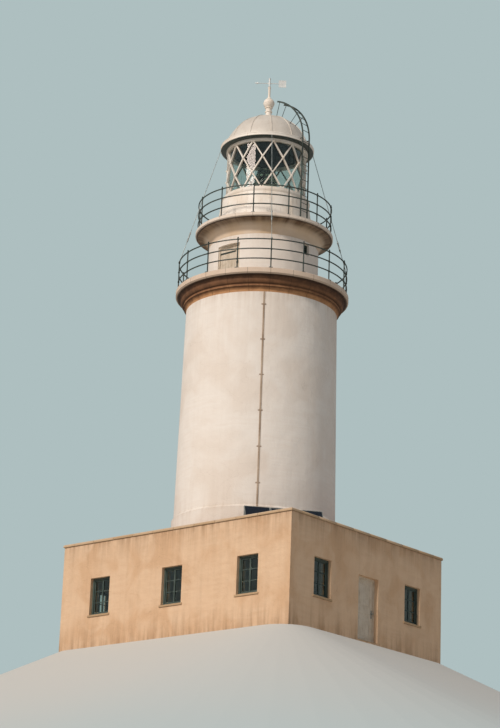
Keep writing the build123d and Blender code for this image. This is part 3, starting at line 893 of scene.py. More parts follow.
# The dome: a sheet-iron shell with standing seams, a rim bead and a crown flange

dome = {
    "shell": 0.04,
    "segments": 96,
    "rows": 16,
    "seams": 12,
    "seamWidth": 0.03,
    "seamHeight": 0.02,
    "seamSteps": 20,
    "seamEnd": 82.0,        # degrees up from the sphere's level
    "beadRadius": 0.022,
    "crown": [(0.108, 20.36), (0.27, 20.335), (0.27, 20.362), (0.17, 20.39), (0.145, 20.45), (0.108, 20.45)],
}


def domeSize():
    low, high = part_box("dome")
    rise = high.z - low.z
    radius = (high.x ** 2 + rise ** 2) / (2 * rise)
    return low.z, high.z, high.x, radius, high.z - radius


def makeDome():
    foot, top, reach, radius, centre = domeSize()
    start = math.asin((foot - centre) / radius)
    inner = radius - dome["shell"]
    innerStart = math.asin((foot - centre) / inner)
    rings = [(0.0, centre + inner)]
    for row in range(dome["rows"], -1, -1):
        turn = innerStart + (math.pi / 2 - innerStart) * row / (dome["rows"] + 1)
        rings.append((inner * math.cos(turn), centre + inner * math.sin(turn)))
    for row in range(dome["rows"] + 1):
        turn = start + (math.pi / 2 - start) * row / (dome["rows"] + 1)
        rings.append((radius * math.cos(turn), centre + radius * math.sin(turn)))
    rings.append((0.0, top))
    shell = turnPiece("dome_shell", rings, dome["segments"])
    finishPiece(shell, "domeEnamel", smooth=40)
    # The shell's inner faces take the near-black lining, painted shade under the dome
    shell.data.materials.append(finishes["lining"])
    for face in shell.data.polygons:
        away = face.center - Vector((0, 0, centre))
        if away.dot(face.normal) < 0:
            face.material_index = 1
    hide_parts("dome")

    # One seam is a small rectangle at the sphere's level, spun up the shell
    seam = startPiece("seam", bpy.ops.mesh.primitive_plane_add, size=1)
    seam.data.transform(Matrix.Diagonal((dome["seamHeight"] * 1.5, dome["seamWidth"], 1, 1)))
    seam.data.transform(moved(radius + dome["seamHeight"] * 0.25, 0, 0))
    seam.data.transform(Matrix.Rotation(-start, 4, "Y"))
    seam.data.transform(moved(0, 0, centre))
    editAll(seam)
    bpy.ops.mesh.spin(steps=dome["seamSteps"], angle=math.radians(dome["seamEnd"]) - start,
                      center=(0, 0, centre), axis=(0, 1, 0))
    endEdit()
    cleanNormals(seam)
    bevelPiece(seam, 0.004)
    seams = repeatPiece(seam, turnsRound(dome["seams"], 0.5), "dome_seams")
    finishPiece(seams, "domeEnamel")

    size = dome["beadRadius"]
    bead = [(reach + size * math.cos(a), foot + size + size * math.sin(a))
            for a in (i * math.pi / 5 for i in range(10))]
    trim = [turnPiece("bead", bead, 96, closed=True), turnPiece("crown", dome["crown"], 48, closed=True)]
    finishPiece(joinPieces(trim, "dome_trim"), "whiteEnamel")


makeDome()
print("dome made")


# Ball ventilator and mast: turned collars and the ball's seam

mastRings = {
    "neckBead": [(0.108, 20.60), (0.135, 20.605), (0.14, 20.625), (0.135, 20.645), (0.108, 20.65)],
    "ballFoot": [(0.10, 20.77), (0.145, 20.775), (0.15, 20.80), (0.12, 20.815)],
    "ballSeam": [(0.20, 20.955), (0.2125, 20.958), (0.2125, 20.982), (0.20, 20.985)],
    "ballHead": [(0.04, 21.155), (0.09, 21.16), (0.085, 21.185), (0.06, 21.20), (0.04, 21.24)],
    "mastHead": [(0.043, 21.595), (0.06, 21.60), (0.06, 21.625), (0.043, 21.635)],
}


def makeMastRings():
    rings = [turnPiece(name, profile, 32, closed=True) for name, profile in mastRings.items()]
    finishPiece(joinPieces(rings, "mast_collars"), "whiteEnamel", smooth=40)


makeMastRings()
print("mast made")


# The vane: beads on its hub, sleeves at its arms, and a folded rim, straps and rivets on its tail

vane = {
    "turn": -50.0,
    "height": 21.7925,      # of the arm
    "hubBeads": ([(0.03, 21.658), (0.041, 21.66), (0.045, 21.668), (0.041, 21.676), (0.03, 21.678)],
                 [(0.03, 21.962), (0.041, 21.965), (0.046, 21.977), (0.04, 21.99), (0.03, 21.994)]),
    "sleeve": [(0.0, 0.03), (0.024, 0.03), (0.024, 0.05), (0.018, 0.062), (0.018, 0.085), (0.0, 0.088)],
    "tail": (0.34, 0.62),
    "tailHalf": 0.14,
    "plateHalf": 0.004,
    "fold": 0.014,
    "strap": (0.336, 0.45),
    "strapHalf": 0.016,
    "strapThickness": 0.004,
    "rivets": (0.375, 0.405, 0.435),
    "rivet": [(0.0, 0.0), (0.0075, 0.0), (0.0065, 0.003), (0.0035, 0.005), (0.0, 0.0055)],
}


def makeVane():
    beads = [turnPiece("bead", rings, 24, closed=True) for rings in vane["hubBeads"]]
    height = moved(0, 0, vane["height"])
    sleeve = turnPiece("sleeve", vane["sleeve"], 16)
    sleeves = repeatPiece(sleeve, [height @ turned(side * 90, "Y") for side in (-1, 1)], "sleeves")
    start, end = vane["tail"]
    half = vane["tailHalf"]
    side = vane["plateHalf"]
    rim = blockPiece("rim", (start - 0.001, -side - 0.003, vane["height"] - half - 0.001),
                     (end + 0.001, side + 0.003, vane["height"] + half + 0.001))
    pickFaces(rim, lambda centre, normal: abs(normal.y) > 0.5)
    bpy.ops.mesh.inset(thickness=vane["fold"])
    bpy.ops.mesh.delete(type="FACE")
    endEdit()
    thickenPiece(rim, 0.002, -1.0)
    near, far = vane["strap"]
    low, high = vane["height"] - vane["strapHalf"], vane["height"] + vane["strapHalf"]
    thick = vane["strapThickness"]
    straps = [blockPiece("strap", (near, y, low), (far, y + thick, high), 0.001)
              for y in (-side - thick, side)]
    rivet = turnPiece("rivet", vane["rivet"], 10)
    spots = [moved(x, -k * (side + 0.0035), vane["height"]) @ turned(k * 90, "X") for x in vane["rivets"]
             for k in (-1, 1)]
    rivets = repeatPiece(rivet, spots, "rivets")
    fittings = joinPieces(beads + [sleeves, rim, rivets] + straps, "vane_fittings")
    fittings.data.transform(turned(vane["turn"]))
    finishPiece(fittings, "vaneOxideAndHighlight", body="weathervane")


makeVane()
print("vane dressed")


# The optic: a ribbed lens in its frame on a turned pedestal, dim behind the panes

optic = {
    "ribs": 20,
    "ribDepth": 0.02,
    "rim": 0.03,
    "waist": 0.3,
    "bars": 8,
    "barHalf": 0.012,
    "barFoot": 0.04,
    "barSteps": 10,
    "frameRadius": 0.335,
    "pedestal": [(0.0, 15.65), (0.24, 15.65), (0.24, 15.69), (0.205, 15.72), (0.17, 15.79), (0.155, 15.95),
                 (0.155, 16.92), (0.175, 17.04), (0.215, 17.1), (0.235, 17.17), (0.235, 17.25), (0.0, 17.25)],
}


def makeOptic():
    low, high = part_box("optic_lens")
    middle = (low.z + high.z) / 2
    half = (high.z - low.z) / 2
    waist = optic["waist"]
    belly = high.x - waist
    bend = (half ** 2 + belly ** 2) / (2 * belly)

    def reach(z):
        return high.x - (bend - math.sqrt(bend ** 2 - (z - middle) ** 2))

    rings = [(0.0, low.z), (waist - 0.02, low.z)]
    pitch = (high.z - low.z - 2 * optic["rim"]) / optic["ribs"]
    for k in range(optic["ribs"]):
        z = low.z + optic["rim"] + pitch * k
        if abs(z + pitch / 2 - middle) < pitch * 1.6:
            rings += [(reach(z), z)]
            continue
        lean = 0.15 if z < middle else 0.85
        rings += [(reach(z) - optic["ribDepth"], z), (reach(z + pitch * lean), z + pitch * lean)]
    rings += [(waist - 0.02, high.z), (0.0, high.z)]
    lens = finishPiece(turnPiece("ribbed_lens", rings, 48), "lensGlass", smooth=20)
    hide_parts("optic_lens")

    thick = optic["barHalf"]
    bar = blockPiece("bar", (waist - thick, -thick, low.z), (waist + thick, thick, low.z + optic["barFoot"]))
    pickFaces(bar, lambda centre, normal: normal.z > 0.5)
    last = waist
    rise = high.z - low.z - optic["barFoot"]
    for k in range(1, optic["barSteps"] + 1):
        z = low.z + optic["barFoot"] + rise * k / optic["barSteps"]
        here = reach(min(z, high.z - 0.001)) + 0.006
        extrudeFaces((here - last, 0, rise / optic["barSteps"]))
        last = here
    endEdit()
    bars = repeatPiece(bar, turnsRound(optic["bars"]), "bars")
    wide = optic["frameRadius"]
    rings = [(0.27, low.z - 0.01), (wide, low.z - 0.01), (wide, low.z + 0.03), (0.27, low.z + 0.03)]
    foot = turnPiece("foot", rings, 48, closed=True)
    rings = [(0.0, high.z), (wide, high.z), (wide, high.z + 0.035), (0.2, high.z + 0.06),
             (0.05, high.z + 0.12), (0.0, high.z + 0.12)]
    head = turnPiece("head", rings, 48)
    finishPiece(joinPieces([bars, foot, head], "lens_frame"), "ironPaint")
    pedestal = finishPiece(turnPiece("turned_pedestal", optic["pedestal"], 48), "ironPaint")
    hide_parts("optic_pedestal")


makeOptic()
print("optic made")


# The lantern's dressing: cast bosses where the lattice crosses, and the murette's mouldings, straps and bolts

lantern = {
    "latticeTurn": 3.7,
    "latticeNodes": 12,
    "latticeRadius": 1.45,
    "latticeTiers": 3,
    "barWidth": 0.045,
    "bossReach": 0.028,
    "boss": [(0.0, 0.0), (0.046, 0.0), (0.046, 0.012), (0.034, 0.024), (0.018, 0.026), (0.018, 0.038),
             (0.0, 0.04)],
    "muretteFoot": 1.76,
    "muretteHead": 1.60,
    "beltHeight": 0.66,     # above the murette's foot
    "beltHalf": 0.03,
    "lining": (0.143, 0.148),   # how far in from the murette's face it lies
    "straps": 12,
    "strapWidth": 0.075,
    "strapThickness": 0.009,
    "strapBolts": 6,
    "fascia": [(1.70, 18.985), (1.717, 18.985), (1.727, 19.0), (1.722, 19.03), (1.727, 19.075),
               (1.736, 19.09), (1.733, 19.106), (1.56, 19.11), (1.56, 19.098), (1.70, 19.095)],
}


# The eave's rim is painted white over its dark underside
def makeFascia():
    finishPiece(turnPiece("eave_fascia", lantern["fascia"], 96, closed=True), "whiteEnamel")


def makeBosses():
    low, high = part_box("lantern_glass")
    tier = (high.z - low.z + lantern["barWidth"]) / lantern["latticeTiers"]
    boss = turnPiece("boss", lantern["boss"], 14)
    boss.data.transform(turned(90, "Y"))
    places = []
    for level in range(1, lantern["latticeTiers"]):
        for k in range(lantern["latticeNodes"]):
            angle = lantern["latticeTurn"] + 360 / lantern["latticeNodes"] * (k + (level % 2) / 2)
            height = low.z - lantern["barWidth"] / 2 + tier * level
            places.append(turned(angle) @ moved(lantern["latticeRadius"] + lantern["bossReach"], 0, height))
    finishPiece(repeatPiece(boss, places, "lattice_bosses"), "whiteEnamel")


def makeMurette():
    low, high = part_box("murette")
    foot, head = lantern["muretteFoot"], lantern["muretteHead"]

    def reach(z):
        return foot + (head - foot) * (z - low.z) / (high.z - low.z)

    base = [(foot - 0.01, low.z), (foot + 0.03, low.z), (foot + 0.03, low.z + 0.05),
            (reach(low.z + 0.09) + 0.012, low.z + 0.09), (reach(low.z + 0.09) - 0.01, low.z + 0.09)]
    cap = [(head - 0.02, high.z - 0.10), (reach(high.z - 0.1) + 0.008, high.z - 0.10),
           (head + 0.035, high.z - 0.065), (head + 0.04, high.z - 0.02), (head + 0.025, high.z),
           (head - 0.02, high.z)]
    beltLow = low.z + lantern["beltHeight"] - lantern["beltHalf"]
    beltHigh = low.z + lantern["beltHeight"] + lantern["beltHalf"]
    belt = [(reach(beltLow) - 0.01, beltLow), (reach(beltLow) + 0.008, beltLow),
            (reach(beltHigh) + 0.008, beltHigh), (reach(beltHigh) - 0.01, beltHigh)]
    bands = [turnPiece(name, rings, 96, closed=True)
             for name, rings in (("base", base), ("cap", cap), ("belt", belt))]

    # A strap covers each joint of the plates, bent to the cone's lean
    lean = math.atan2(foot - head, high.z - low.z)
    length = (high.z - low.z - 0.2) / math.cos(lean)
    half = lantern["strapWidth"] / 2
    strap = blockPiece("strap", (-0.002, -half, 0), (lantern["strapThickness"], half, length), 0.003)
    bolt = boltPiece("bolt", 0.012, 0.014)
    bolt.data.transform(turned(90, "Y"))
    spots = [moved(lantern["strapThickness"], side * 0.024, length * (k + 0.5) / lantern["strapBolts"])
             for k in range(lantern["strapBolts"]) for side in (-1, 1)]
    strap = joinPieces([strap, repeatPiece(bolt, spots, "bolts")], "strap")
    strap.data.transform(moved(reach(low.z + 0.09), 0, low.z + 0.09) @ Matrix.Rotation(-lean, 4, "Y"))
    straps = repeatPiece(strap, turnsRound(lantern["straps"], 0.5), "straps")
    finishPiece(joinPieces(bands + [straps], "murette_dressing"), "whiteEnamel")

    # A near-black sheet just inside the murette: painted shade for the lantern's dark inside
    near, far = lantern["lining"]
    rings = [(foot - near, low.z + 0.002), (head - near, high.z), (head - far, high.z),
             (foot - far, low.z + 0.002)]
    finishPiece(turnPiece("murette_lining", rings, 64, closed=True), "lining")


makeFascia()
makeBosses()
makeMurette()
print("lantern dressed")


# Railings: cast knuckles where rails pass the posts, finials, and bolts on the base plates

railings = {
    "lower": {"deck": "lower_deck", "radius": 3.06, "posts": 16, "bare": (2, 6, 10, 14)},
    "upper": {"deck": "upper_deck", "radius": 2.441, "posts": 12, "bare": ()},
    "rails": (0.3497, 0.7163, 1.083),
    "height": 1.1,
    "boltSpread": 0.045,
    "plateTop": 0.013,
    "knuckle": [(0.0, -0.036), (0.027, -0.034), (0.036, -0.014), (0.036, 0.014), (0.027, 0.034),
                (0.0, 0.036)],
    "finial": [(0.0, -0.004), (0.03, -0.004), (0.032, 0.01), (0.014, 0.018), (0.026, 0.036), (0.028, 0.05),
               (0.014, 0.066), (0.0, 0.07)],
}


def makeRailings():
    knuckle = turnPiece("knuckle", railings["knuckle"], 12)
    finial = turnPiece("finial", railings["finial"], 12)
    bolt = boltPiece("bolt", 0.013, 0.02)
    knuckles, finials, bolts = [], [], []
    for level in ("lower", "upper"):
        rail = railings[level]
        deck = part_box(rail["deck"])[1].z
        for k, turn in enumerate(turnsRound(rail["posts"])):
            post = turn @ moved(rail["radius"], 0, deck)
            knuckles += [post @ moved(0, 0, z) for z in railings["rails"]]
            if k not in rail["bare"]:
                finials.append(post @ moved(0, 0, railings["height"]))
            spread = railings["boltSpread"]
            bolts += [post @ moved(spread * i, spread * j, railings["plateTop"]) for i in (-1, 1)
                      for j in (-1, 1)]
    for piece, places, name, finish, slot in ((knuckle, knuckles, "rail_knuckles", "ironPaint", "dark_paint"),
                                              (finial, finials, "post_finials", "ironPaint", "dark_paint"),
                                              (bolt, bolts, "post_bolts", "zinc", "galvanised")):
        finishPiece(repeatPiece(piece, places, name), finish)


makeRailings()
print("railings dressed")


# Stays: a turnbuckle in each, and an eye at its foot

stay = {
    "angles": (45, 135, 225, 315),
    "top": (1.699, 19.02),
    "foot": (3.06, 14.44),
    "share": 0.78,          # how far down the rod its turnbuckle sits
    "turnbuckle": [(0.0, -0.24), (0.016, -0.235), (0.018, -0.19), (0.03, -0.17), (0.03, -0.13),
                   (0.024, -0.12), (0.024, 0.12), (0.03, 0.13), (0.03, 0.17), (0.018, 0.19), (0.016, 0.235),
                   (0.0, 0.24)],
    "eye": [(0.0, 0.0), (0.034, 0.0), (0.038, 0.018), (0.03, 0.04), (0.02, 0.075), (0.0, 0.08)],
}


def makeStays():
    top = Vector((stay["top"][0], 0, stay["top"][1]))
    foot = Vector((stay["foot"][0], 0, stay["foot"][1]))
    lean = (top - foot).to_track_quat("Z", "Y").to_matrix().to_4x4()
    middle = top.lerp(foot, stay["share"])
    fittings = []
    for name, spot in (("turnbuckle", middle), ("eye", foot)):
        places = [turned(a) @ Matrix.Translation(spot) @ lean for a in stay["angles"]]
        fittings.append(repeatPiece(turnPiece(name, stay[name], 14), places, name))
    finishPiece(joinPieces(fittings, "stay_fittings"), "zinc")


makeStays()
print("stays dressed")


# Coping: separate sandstone blocks with open joints, no two quite the same tone

coping = {
    "joint": 0.009,
    "sideStones": 8,
    "endStones": 10,
    "chamfer": 0.03,
    "over": 0.04,           # how far the stones reach in past the wall
    "edge": 0.006,
}


def makeCoping():
    low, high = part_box("coping")
    width = high.x - (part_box("roof_slab")[1].x - coping["over"])
    thick = high.z - low.z

    def stone(length, allRound):
        block = blockPiece("stone", (-length / 2, -width / 2, 0),
                           (length / 2, width / 2, thick - coping["chamfer"]))
        pickFaces(block, lambda centre, normal: normal.z > 0.5)
        extrudeFaces((0, 0, coping["chamfer"]))
        share = 1 - 2 * coping["chamfer"] / width
        bpy.ops.transform.resize(value=(share if allRound else 1, share, 1), center_override=(0, 0, 0))
        endEdit()
        bevelPiece(block, coping["edge"])
        return block

    middleX = high.x - width / 2
    middleY = high.y - width / 2
    pieces = []
    spanX = 2 * (high.x - width)
    spanY = 2 * (high.y - width)
    for span, count, turn, sides, seed in ((spanX, coping["sideStones"], 0, middleY, 3),
                                           (spanY, coping["endStones"], 90, middleX, 11)):
        pitch = span / count
        places = []
        tones = []
        for side in (-1, 1):
            for k in range(count):
                along = -span / 2 + pitch * (k + 0.5)
                spot = (along, side * sides, low.z) if turn == 0 else (side * sides, along, low.z)
                places.append(Matrix.Translation(spot) @ turned(turn))
                tones.append(chance(k + 1, seed + side))
        pieces.append(repeatPiece(stone(pitch - coping["joint"], False), places, "run", tones))
    corners = [moved(i * middleX, j * middleY, low.z) for i in (-1, 1) for j in (-1, 1)]
    pieces.append(repeatPiece(stone(width, True), corners, "corners", [chance(k, 29) for k in range(4)]))
    stones = finishPiece(joinPieces(pieces, "coping_stones"), "copingStone")
    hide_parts("coping")


makeCoping()
print("coping made")


# Roof: terracotta tiles in mortar, and a fillet of render where the tower comes through

roof = {
    "tile": 0.3,
    "joint": 0.009,
    "edge": 0.004,
    "thickness": 0.009,
    "bare": 2.35,           # metres from the axis, where the tower stands on the slab
    "fillet": [(2.91, 3.40), (3.06, 3.405), (3.035, 3.43), (2.955, 3.5), (2.93, 3.57), (2.91, 3.57)],
}


def makeRoof():
    low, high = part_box("roof_slab")
    across = round((high.x - low.x) / roof["tile"])
    along = round((high.y - low.y) / roof["tile"])
    field = startPiece("roof_tiles", bpy.ops.mesh.primitive_grid_add, x_subdivisions=across,
                       y_subdivisions=along, size=1)
    field.data.transform(moved(0, 0, high.z + 0.001)
                         @ Matrix.Diagonal((high.x - low.x, high.y - low.y, 1, 1)))
    pickFaces(field, lambda centre, normal: centre.xy.length < roof["bare"])
    bpy.ops.mesh.delete(type="FACE")
    endEdit()
    editAll(field)
    bpy.ops.mesh.inset(thickness=roof["joint"] / 2, use_individual=True)
    bpy.ops.mesh.inset(thickness=roof["edge"], depth=roof["thickness"], use_individual=True)
    endEdit()

    # The mortar has a tone below 0, which the material looks for
    def tileTone(face):
        if face.center.z < high.z + 0.002:
            return -1.0
        column = math.floor((face.center.x - low.x) / roof["tile"])
        row = math.floor((face.center.y - low.y) / roof["tile"])
        return chance(column, row)

    setTone(field, tileTone)
    finishPiece(field, "terracotta")
    finishPiece(turnPiece("tower_fillet", roof["fillet"], 96, closed=True), "limewash")


makeRoof()
print("roof made")


# House windows: casements with glazing bars, and sloped stone sills

windows = {
    "width": 0.9,
    "height": 1.3,
    "foot": 1.2,
    "setback": 0.12,
    "frameFace": 0.07,
    "frameDepth": 0.11,
    "sideRow": (-3.3, 0.0, 3.3),
    "endRow": (-2.5, 2.5),
    "paneRows": 3,
    "barFace": 0.02,
    "barDepth": 0.034,
    "stile": 0.06,
    "sashSide": (0.04, 0.022),  # face, and half its depth
    "sashEnd": (0.045, 0.021),
    "sillReach": 0.034,
    "sillLift": 0.012,
    "sillFall": 0.01,
    "sillOver": 0.06,
    "sillThickness": 0.07,
}


def windowPlaces():
    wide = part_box("right_wall")[1].x
    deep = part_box("back_wall")[1].y
    places = [(turn, wide, along) for turn in (0, 180) for along in windows["sideRow"]]
    places += [(turn, deep, along) for turn in (90, 270) for along in windows["endRow"]]
    return [turned(turn) @ moved(reach, along, 0) for turn, reach, along in places]


def makeWindows():
    w = windows
    inWidth = w["width"] - 2 * w["frameFace"]
    inHeight = w["height"] - 2 * w["frameFace"]
    middle = -w["setback"] - w["frameDepth"] / 2
    sash = startPiece("sash", bpy.ops.mesh.primitive_grid_add, x_subdivisions=w["paneRows"], y_subdivisions=2,
                      size=1)
    sash.data.transform(moved(middle, 0, w["foot"] + w["height"] / 2) @ turned(90, "Y")
                        @ Matrix.Diagonal((inHeight, inWidth, 1, 1)))
    editAll(sash)
    bpy.ops.mesh.inset(thickness=w["barFace"] / 2 + 0.004, use_individual=True)
    bpy.ops.mesh.delete(type="FACE")
    endEdit()
    thickenPiece(sash, w["barDepth"])
    low = w["foot"] + w["frameFace"]
    half = w["barDepth"] * 0.7
    stile = blockPiece("stile", (middle - half, -w["stile"] / 2, low),
                       (middle + half, w["stile"] / 2, low + inHeight))
    face, half = w["sashSide"]
    sides = [blockPiece("side", (middle - half, y, low), (middle + half, y + face, low + inHeight))
             for y in (-inWidth / 2, inWidth / 2 - face)]
    face, half = w["sashEnd"]
    ends = [blockPiece("end", (middle - half, -inWidth / 2, z), (middle + half, inWidth / 2, z + face))
            for z in (low, low + inHeight - face)]
    sash = joinPieces([sash, stile] + sides + ends, "sash")
    bevelPiece(sash, 0.003)
    finishPiece(repeatPiece(sash, windowPlaces(), "window_casements"), "windowPaint")

    half = w["width"] / 2 + w["sillOver"]
    top = w["foot"] + w["sillLift"]
    sill = blockPiece("sill", (-w["setback"], -half, top - w["sillThickness"]), (w["sillReach"], half, top))
    pickFaces(sill, lambda centre, normal: normal.x > 0.5)
    bpy.ops.transform.translate(value=(0, 0, -w["sillFall"]))
    endEdit()
    bevelPiece(sill, 0.006)
    places = windowPlaces()
    sills = repeatPiece(sill, places, "window_sills", [chance(k, 41) for k in range(len(places))])
    finishPiece(sills, "copingStone")


makeWindows()
print("windows made")


# Entrance in the front wall: raised panels, hinges, knob and a worn threshold

entrance = {
    "setback": 0.16,
    "leafOut": -0.19,
    "recess": 0.012,
    "panelHalf": 0.3397,
    "panels": ((0.29, 1.1449), (1.3549, 2.2097)),
    "mouldings": ((0.026, 0.0), (0.006, -0.01), (0.05, 0.0), (0.016, 0.009)),   # width and rise of each
    "hinges": (0.4, 1.2, 2.05),
    "hingeSide": -0.482,
    "barrel": [(0.0, -0.06), (0.009, -0.055), (0.012, -0.05), (0.012, 0.05), (0.009, 0.055), (0.0, 0.06)],
    "plate": ((0.385, 1.02), (0.455, 1.30)),
    "knobPlace": (0.42, 1.18),
    "thresholdHalf": 0.548,
    "thresholdEdge": 0.12,
    "thresholdWear": 0.008,
    "knob": [(0.0, 0.0), (0.04, 0.0), (0.04, 0.008), (0.014, 0.012), (0.012, 0.035), (0.026, 0.045),
             (0.032, 0.06), (0.024, 0.074), (0.0, 0.078)],
}


def makeEntrance():
    place = turned(270) @ moved(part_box("back_wall")[1].y, 0, 0)
    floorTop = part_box("house_floor")[1].z
    fields = []
    for bottom, top in entrance["panels"]:
        back = entrance["leafOut"] - entrance["recess"]
        field = blockPiece("field", (back - 0.002, -entrance["panelHalf"], bottom),
                           (back + 0.014, entrance["panelHalf"], top))
        pickFaces(field, lambda centre, normal: normal.x > 0.5)
        for thickness, depth in entrance["mouldings"]:
            bpy.ops.mesh.inset(thickness=thickness, depth=depth)
        endEdit()
        fields.append(field)
    panels = joinPieces(fields, "entrance_panels")
    panels.data.transform(place)
    finishPiece(panels, "doorPaint", smooth=20)

    knob = turnPiece("knob", entrance["knob"], 24)
    out = entrance["leafOut"]
    knob.data.transform(moved(out, *entrance["knobPlace"]) @ turned(90, "Y"))
    barrel = turnPiece("barrel", entrance["barrel"], 14)
    spots = [moved(out + 0.006, entrance["hingeSide"], z) for z in entrance["hinges"]]
    hinges = repeatPiece(barrel, spots, "hinges")
    low, high = entrance["plate"]
    plate = blockPiece("plate", (out - 0.001, *low), (out + 0.005, *high), 0.002)
    metal = joinPieces([knob, hinges, plate], "entrance_ironwork")
    metal.data.transform(place)
    finishPiece(metal, "zinc")

    half = entrance["thresholdHalf"]
    slab = blockPiece("threshold", (-entrance["setback"] + 0.004, -half, floorTop - 0.002),
                      (-0.004, half, floorTop + 0.026))
    pickFaces(slab, lambda centre, normal: normal.z > 0.5)
    bpy.ops.mesh.inset(thickness=entrance["thresholdEdge"])
    bpy.ops.transform.translate(value=(0, 0, -entrance["thresholdWear"]))
    endEdit()
    bevelPiece(slab, 0.006)
    slab.data.transform(place)
    setTone(slab, lambda face: 0.4)
    finishPiece(slab, "copingStone")


makeEntrance()
print("entrance made")


# The watch room's gallery door of boards with strap hinges, and the vent's louvres

watchDoor = {
    "setback": 0.15,
    "width": 1.0,
    "boards": 7,
    "gap": 0.004,
    "thickness": 0.05,
    "jamb": (0.05, 0.04),   # face and depth
    "head": (0.06, 0.042),
    "hinges": (0.22, 1.14),
    "strap": (-0.45, 0.22, 0.28),   # from its barrel to where it narrows, and to its point
    "strapHalf": 0.03,
    "strapBolts": (-0.36, -0.16, 0.04, 0.2),
    "barrel": [(0.0, -0.05), (0.014, -0.046), (0.014, 0.046), (0.0, 0.05)],
    "grip": ((0.33, 0.62), (0.37, 0.84)),
    "pull": (0.35, 0.70),
    "pullRing": (0.045, 0.007),
    "louvres": 5,
    "louvre": (0.045, 0.125, 0.003),    # half its depth, width and thickness
    "louvreIn": 0.14,
    "louvreTilt": 38.0,
    "ventSill": 1.19,
    "ventHeight": 0.4,
    "ventFrame": 0.035,
}


def makeWatchDoor():
    low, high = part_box("watch_door")
    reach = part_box("watch_wall_left")[0].x
    place = turned(180) @ moved(-reach, 0, low.z)
    out = -watchDoor["setback"]
    height = high.z - low.z
    pitch = watchDoor["width"] / watchDoor["boards"]
    half = watchDoor["width"] / 2
    gap = watchDoor["gap"] / 2
    inside = out - watchDoor["thickness"]
    board = blockPiece("board", (inside, gap, 0.006), (out, pitch - gap, height - 0.004))
    bevelPiece(board, 0.006)
    spots = [moved(0, -half + pitch * k, 0) for k in range(watchDoor["boards"])]
    boards = repeatPiece(board, spots, "boards")
    back = blockPiece("back", (inside - 0.004, -half + 0.004, 0.006),
                      (inside + 0.006, half - 0.004, height - 0.006))
    face, depth = watchDoor["jamb"]
    frames = [blockPiece("jamb", (out - 0.002, y, 0), (out + depth, y + face, height))
              for y in (-half, half - face)]
    face, depth = watchDoor["head"]
    frames.append(blockPiece("head", (out - 0.002, -half, height - face), (out + depth, half, height)))
    for member in frames:
        bevelPiece(member, 0.004)
    door = joinPieces([boards, back] + frames, "watch_door_boards")
    door.data.transform(place)
    finishPiece(door, "doorPaint")
    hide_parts("watch_door")

    # A strap hinge narrows from its barrel to a point
    start, shoulder, tip = watchDoor["strap"]
    half = watchDoor["strapHalf"]
    strap = blockPiece("strap", (out - 0.001, start, -half), (out + 0.007, shoulder, half))
    pickFaces(strap, lambda centre, normal: normal.y > 0.5)
    extrudeFaces((0, tip - shoulder, 0))
    bpy.ops.transform.resize(value=(1, 1, 0.25), center_override=(out, tip, 0))
    endEdit()
    barrel = turnPiece("barrel", watchDoor["barrel"], 14)
    barrel.data.transform(moved(out + 0.012, start, 0))
    bolt = boltPiece("bolt", 0.011, 0.012)
    bolt.data.transform(turned(90, "Y"))
    bolts = repeatPiece(bolt, [moved(out + 0.006, y, 0) for y in watchDoor["strapBolts"]], "bolts")
    strap = joinPieces([strap, barrel, bolts], "strap")
    straps = repeatPiece(strap, [moved(0, 0, z) for z in watchDoor["hinges"]], "straps")
    gripLow, gripHigh = watchDoor["grip"]
    grip = blockPiece("grip", (out - 0.001, *gripLow), (out + 0.006, *gripHigh), 0.002)
    ringRadius, wireRadius = watchDoor["pullRing"]
    pull = startPiece("pull", bpy.ops.mesh.primitive_torus_add, major_radius=ringRadius,
                      minor_radius=wireRadius, major_segments=24, minor_segments=8)
    pull.data.transform(moved(out + 0.016, *watchDoor["pull"]) @ turned(84, "Y")
                        @ Matrix.Diagonal((1.15, 1, 1, 1)))
    metal = joinPieces([straps, grip, pull], "watch_door_ironwork")
    metal.data.transform(place)
    finishPiece(metal, "ironPaint")

    # Louvres in the vent, tilted to shed rain
    ventLow = low.z + watchDoor["ventSill"] + watchDoor["ventFrame"]
    ventHigh = ventLow + watchDoor["ventHeight"] - 2 * watchDoor["ventFrame"]
    blade = blockPiece("blade", [-size for size in watchDoor["louvre"]], watchDoor["louvre"])
    blade.data.transform(turned(watchDoor["louvreTilt"], "Y"))
    step = (ventHigh - ventLow) / watchDoor["louvres"]
    heights = [ventLow + step * (k + 0.5) for k in range(watchDoor["louvres"])]
    places = [turned(270) @ moved(-reach - watchDoor["louvreIn"], 0, z) for z in heights]
    louvres = repeatPiece(blade, places, "vent_louvres")
    bevelPiece(louvres, 0.001)
    finishPiece(louvres, "windowPaint")


makeWatchDoor()
print("watch room dressed")


# The conductor strap's saddles, bolted to the wall

conductor = {
    "bearing": 221.5,
    "heights": (3.62, 4.45, 5.6, 6.9, 8.2, 9.5, 10.8, 12.1),
    "proud": 0.018,
    "strapHalf": 0.032,
    "foot": 0.045,          # the saddle's flat ends, square
    "boltOut": 0.028,
    "lean": 0.0055,
    "shaftFoot": 2.85,
    "shaftBatter": 0.12,
}


def wallReach(z):
    low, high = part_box("shaft_wall_left")
    if z < low.z:
        return -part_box("base_wall_left")[0].x
    return conductor["shaftFoot"] - conductor["shaftBatter"] * (z - low.z) / (high.z - low.z)


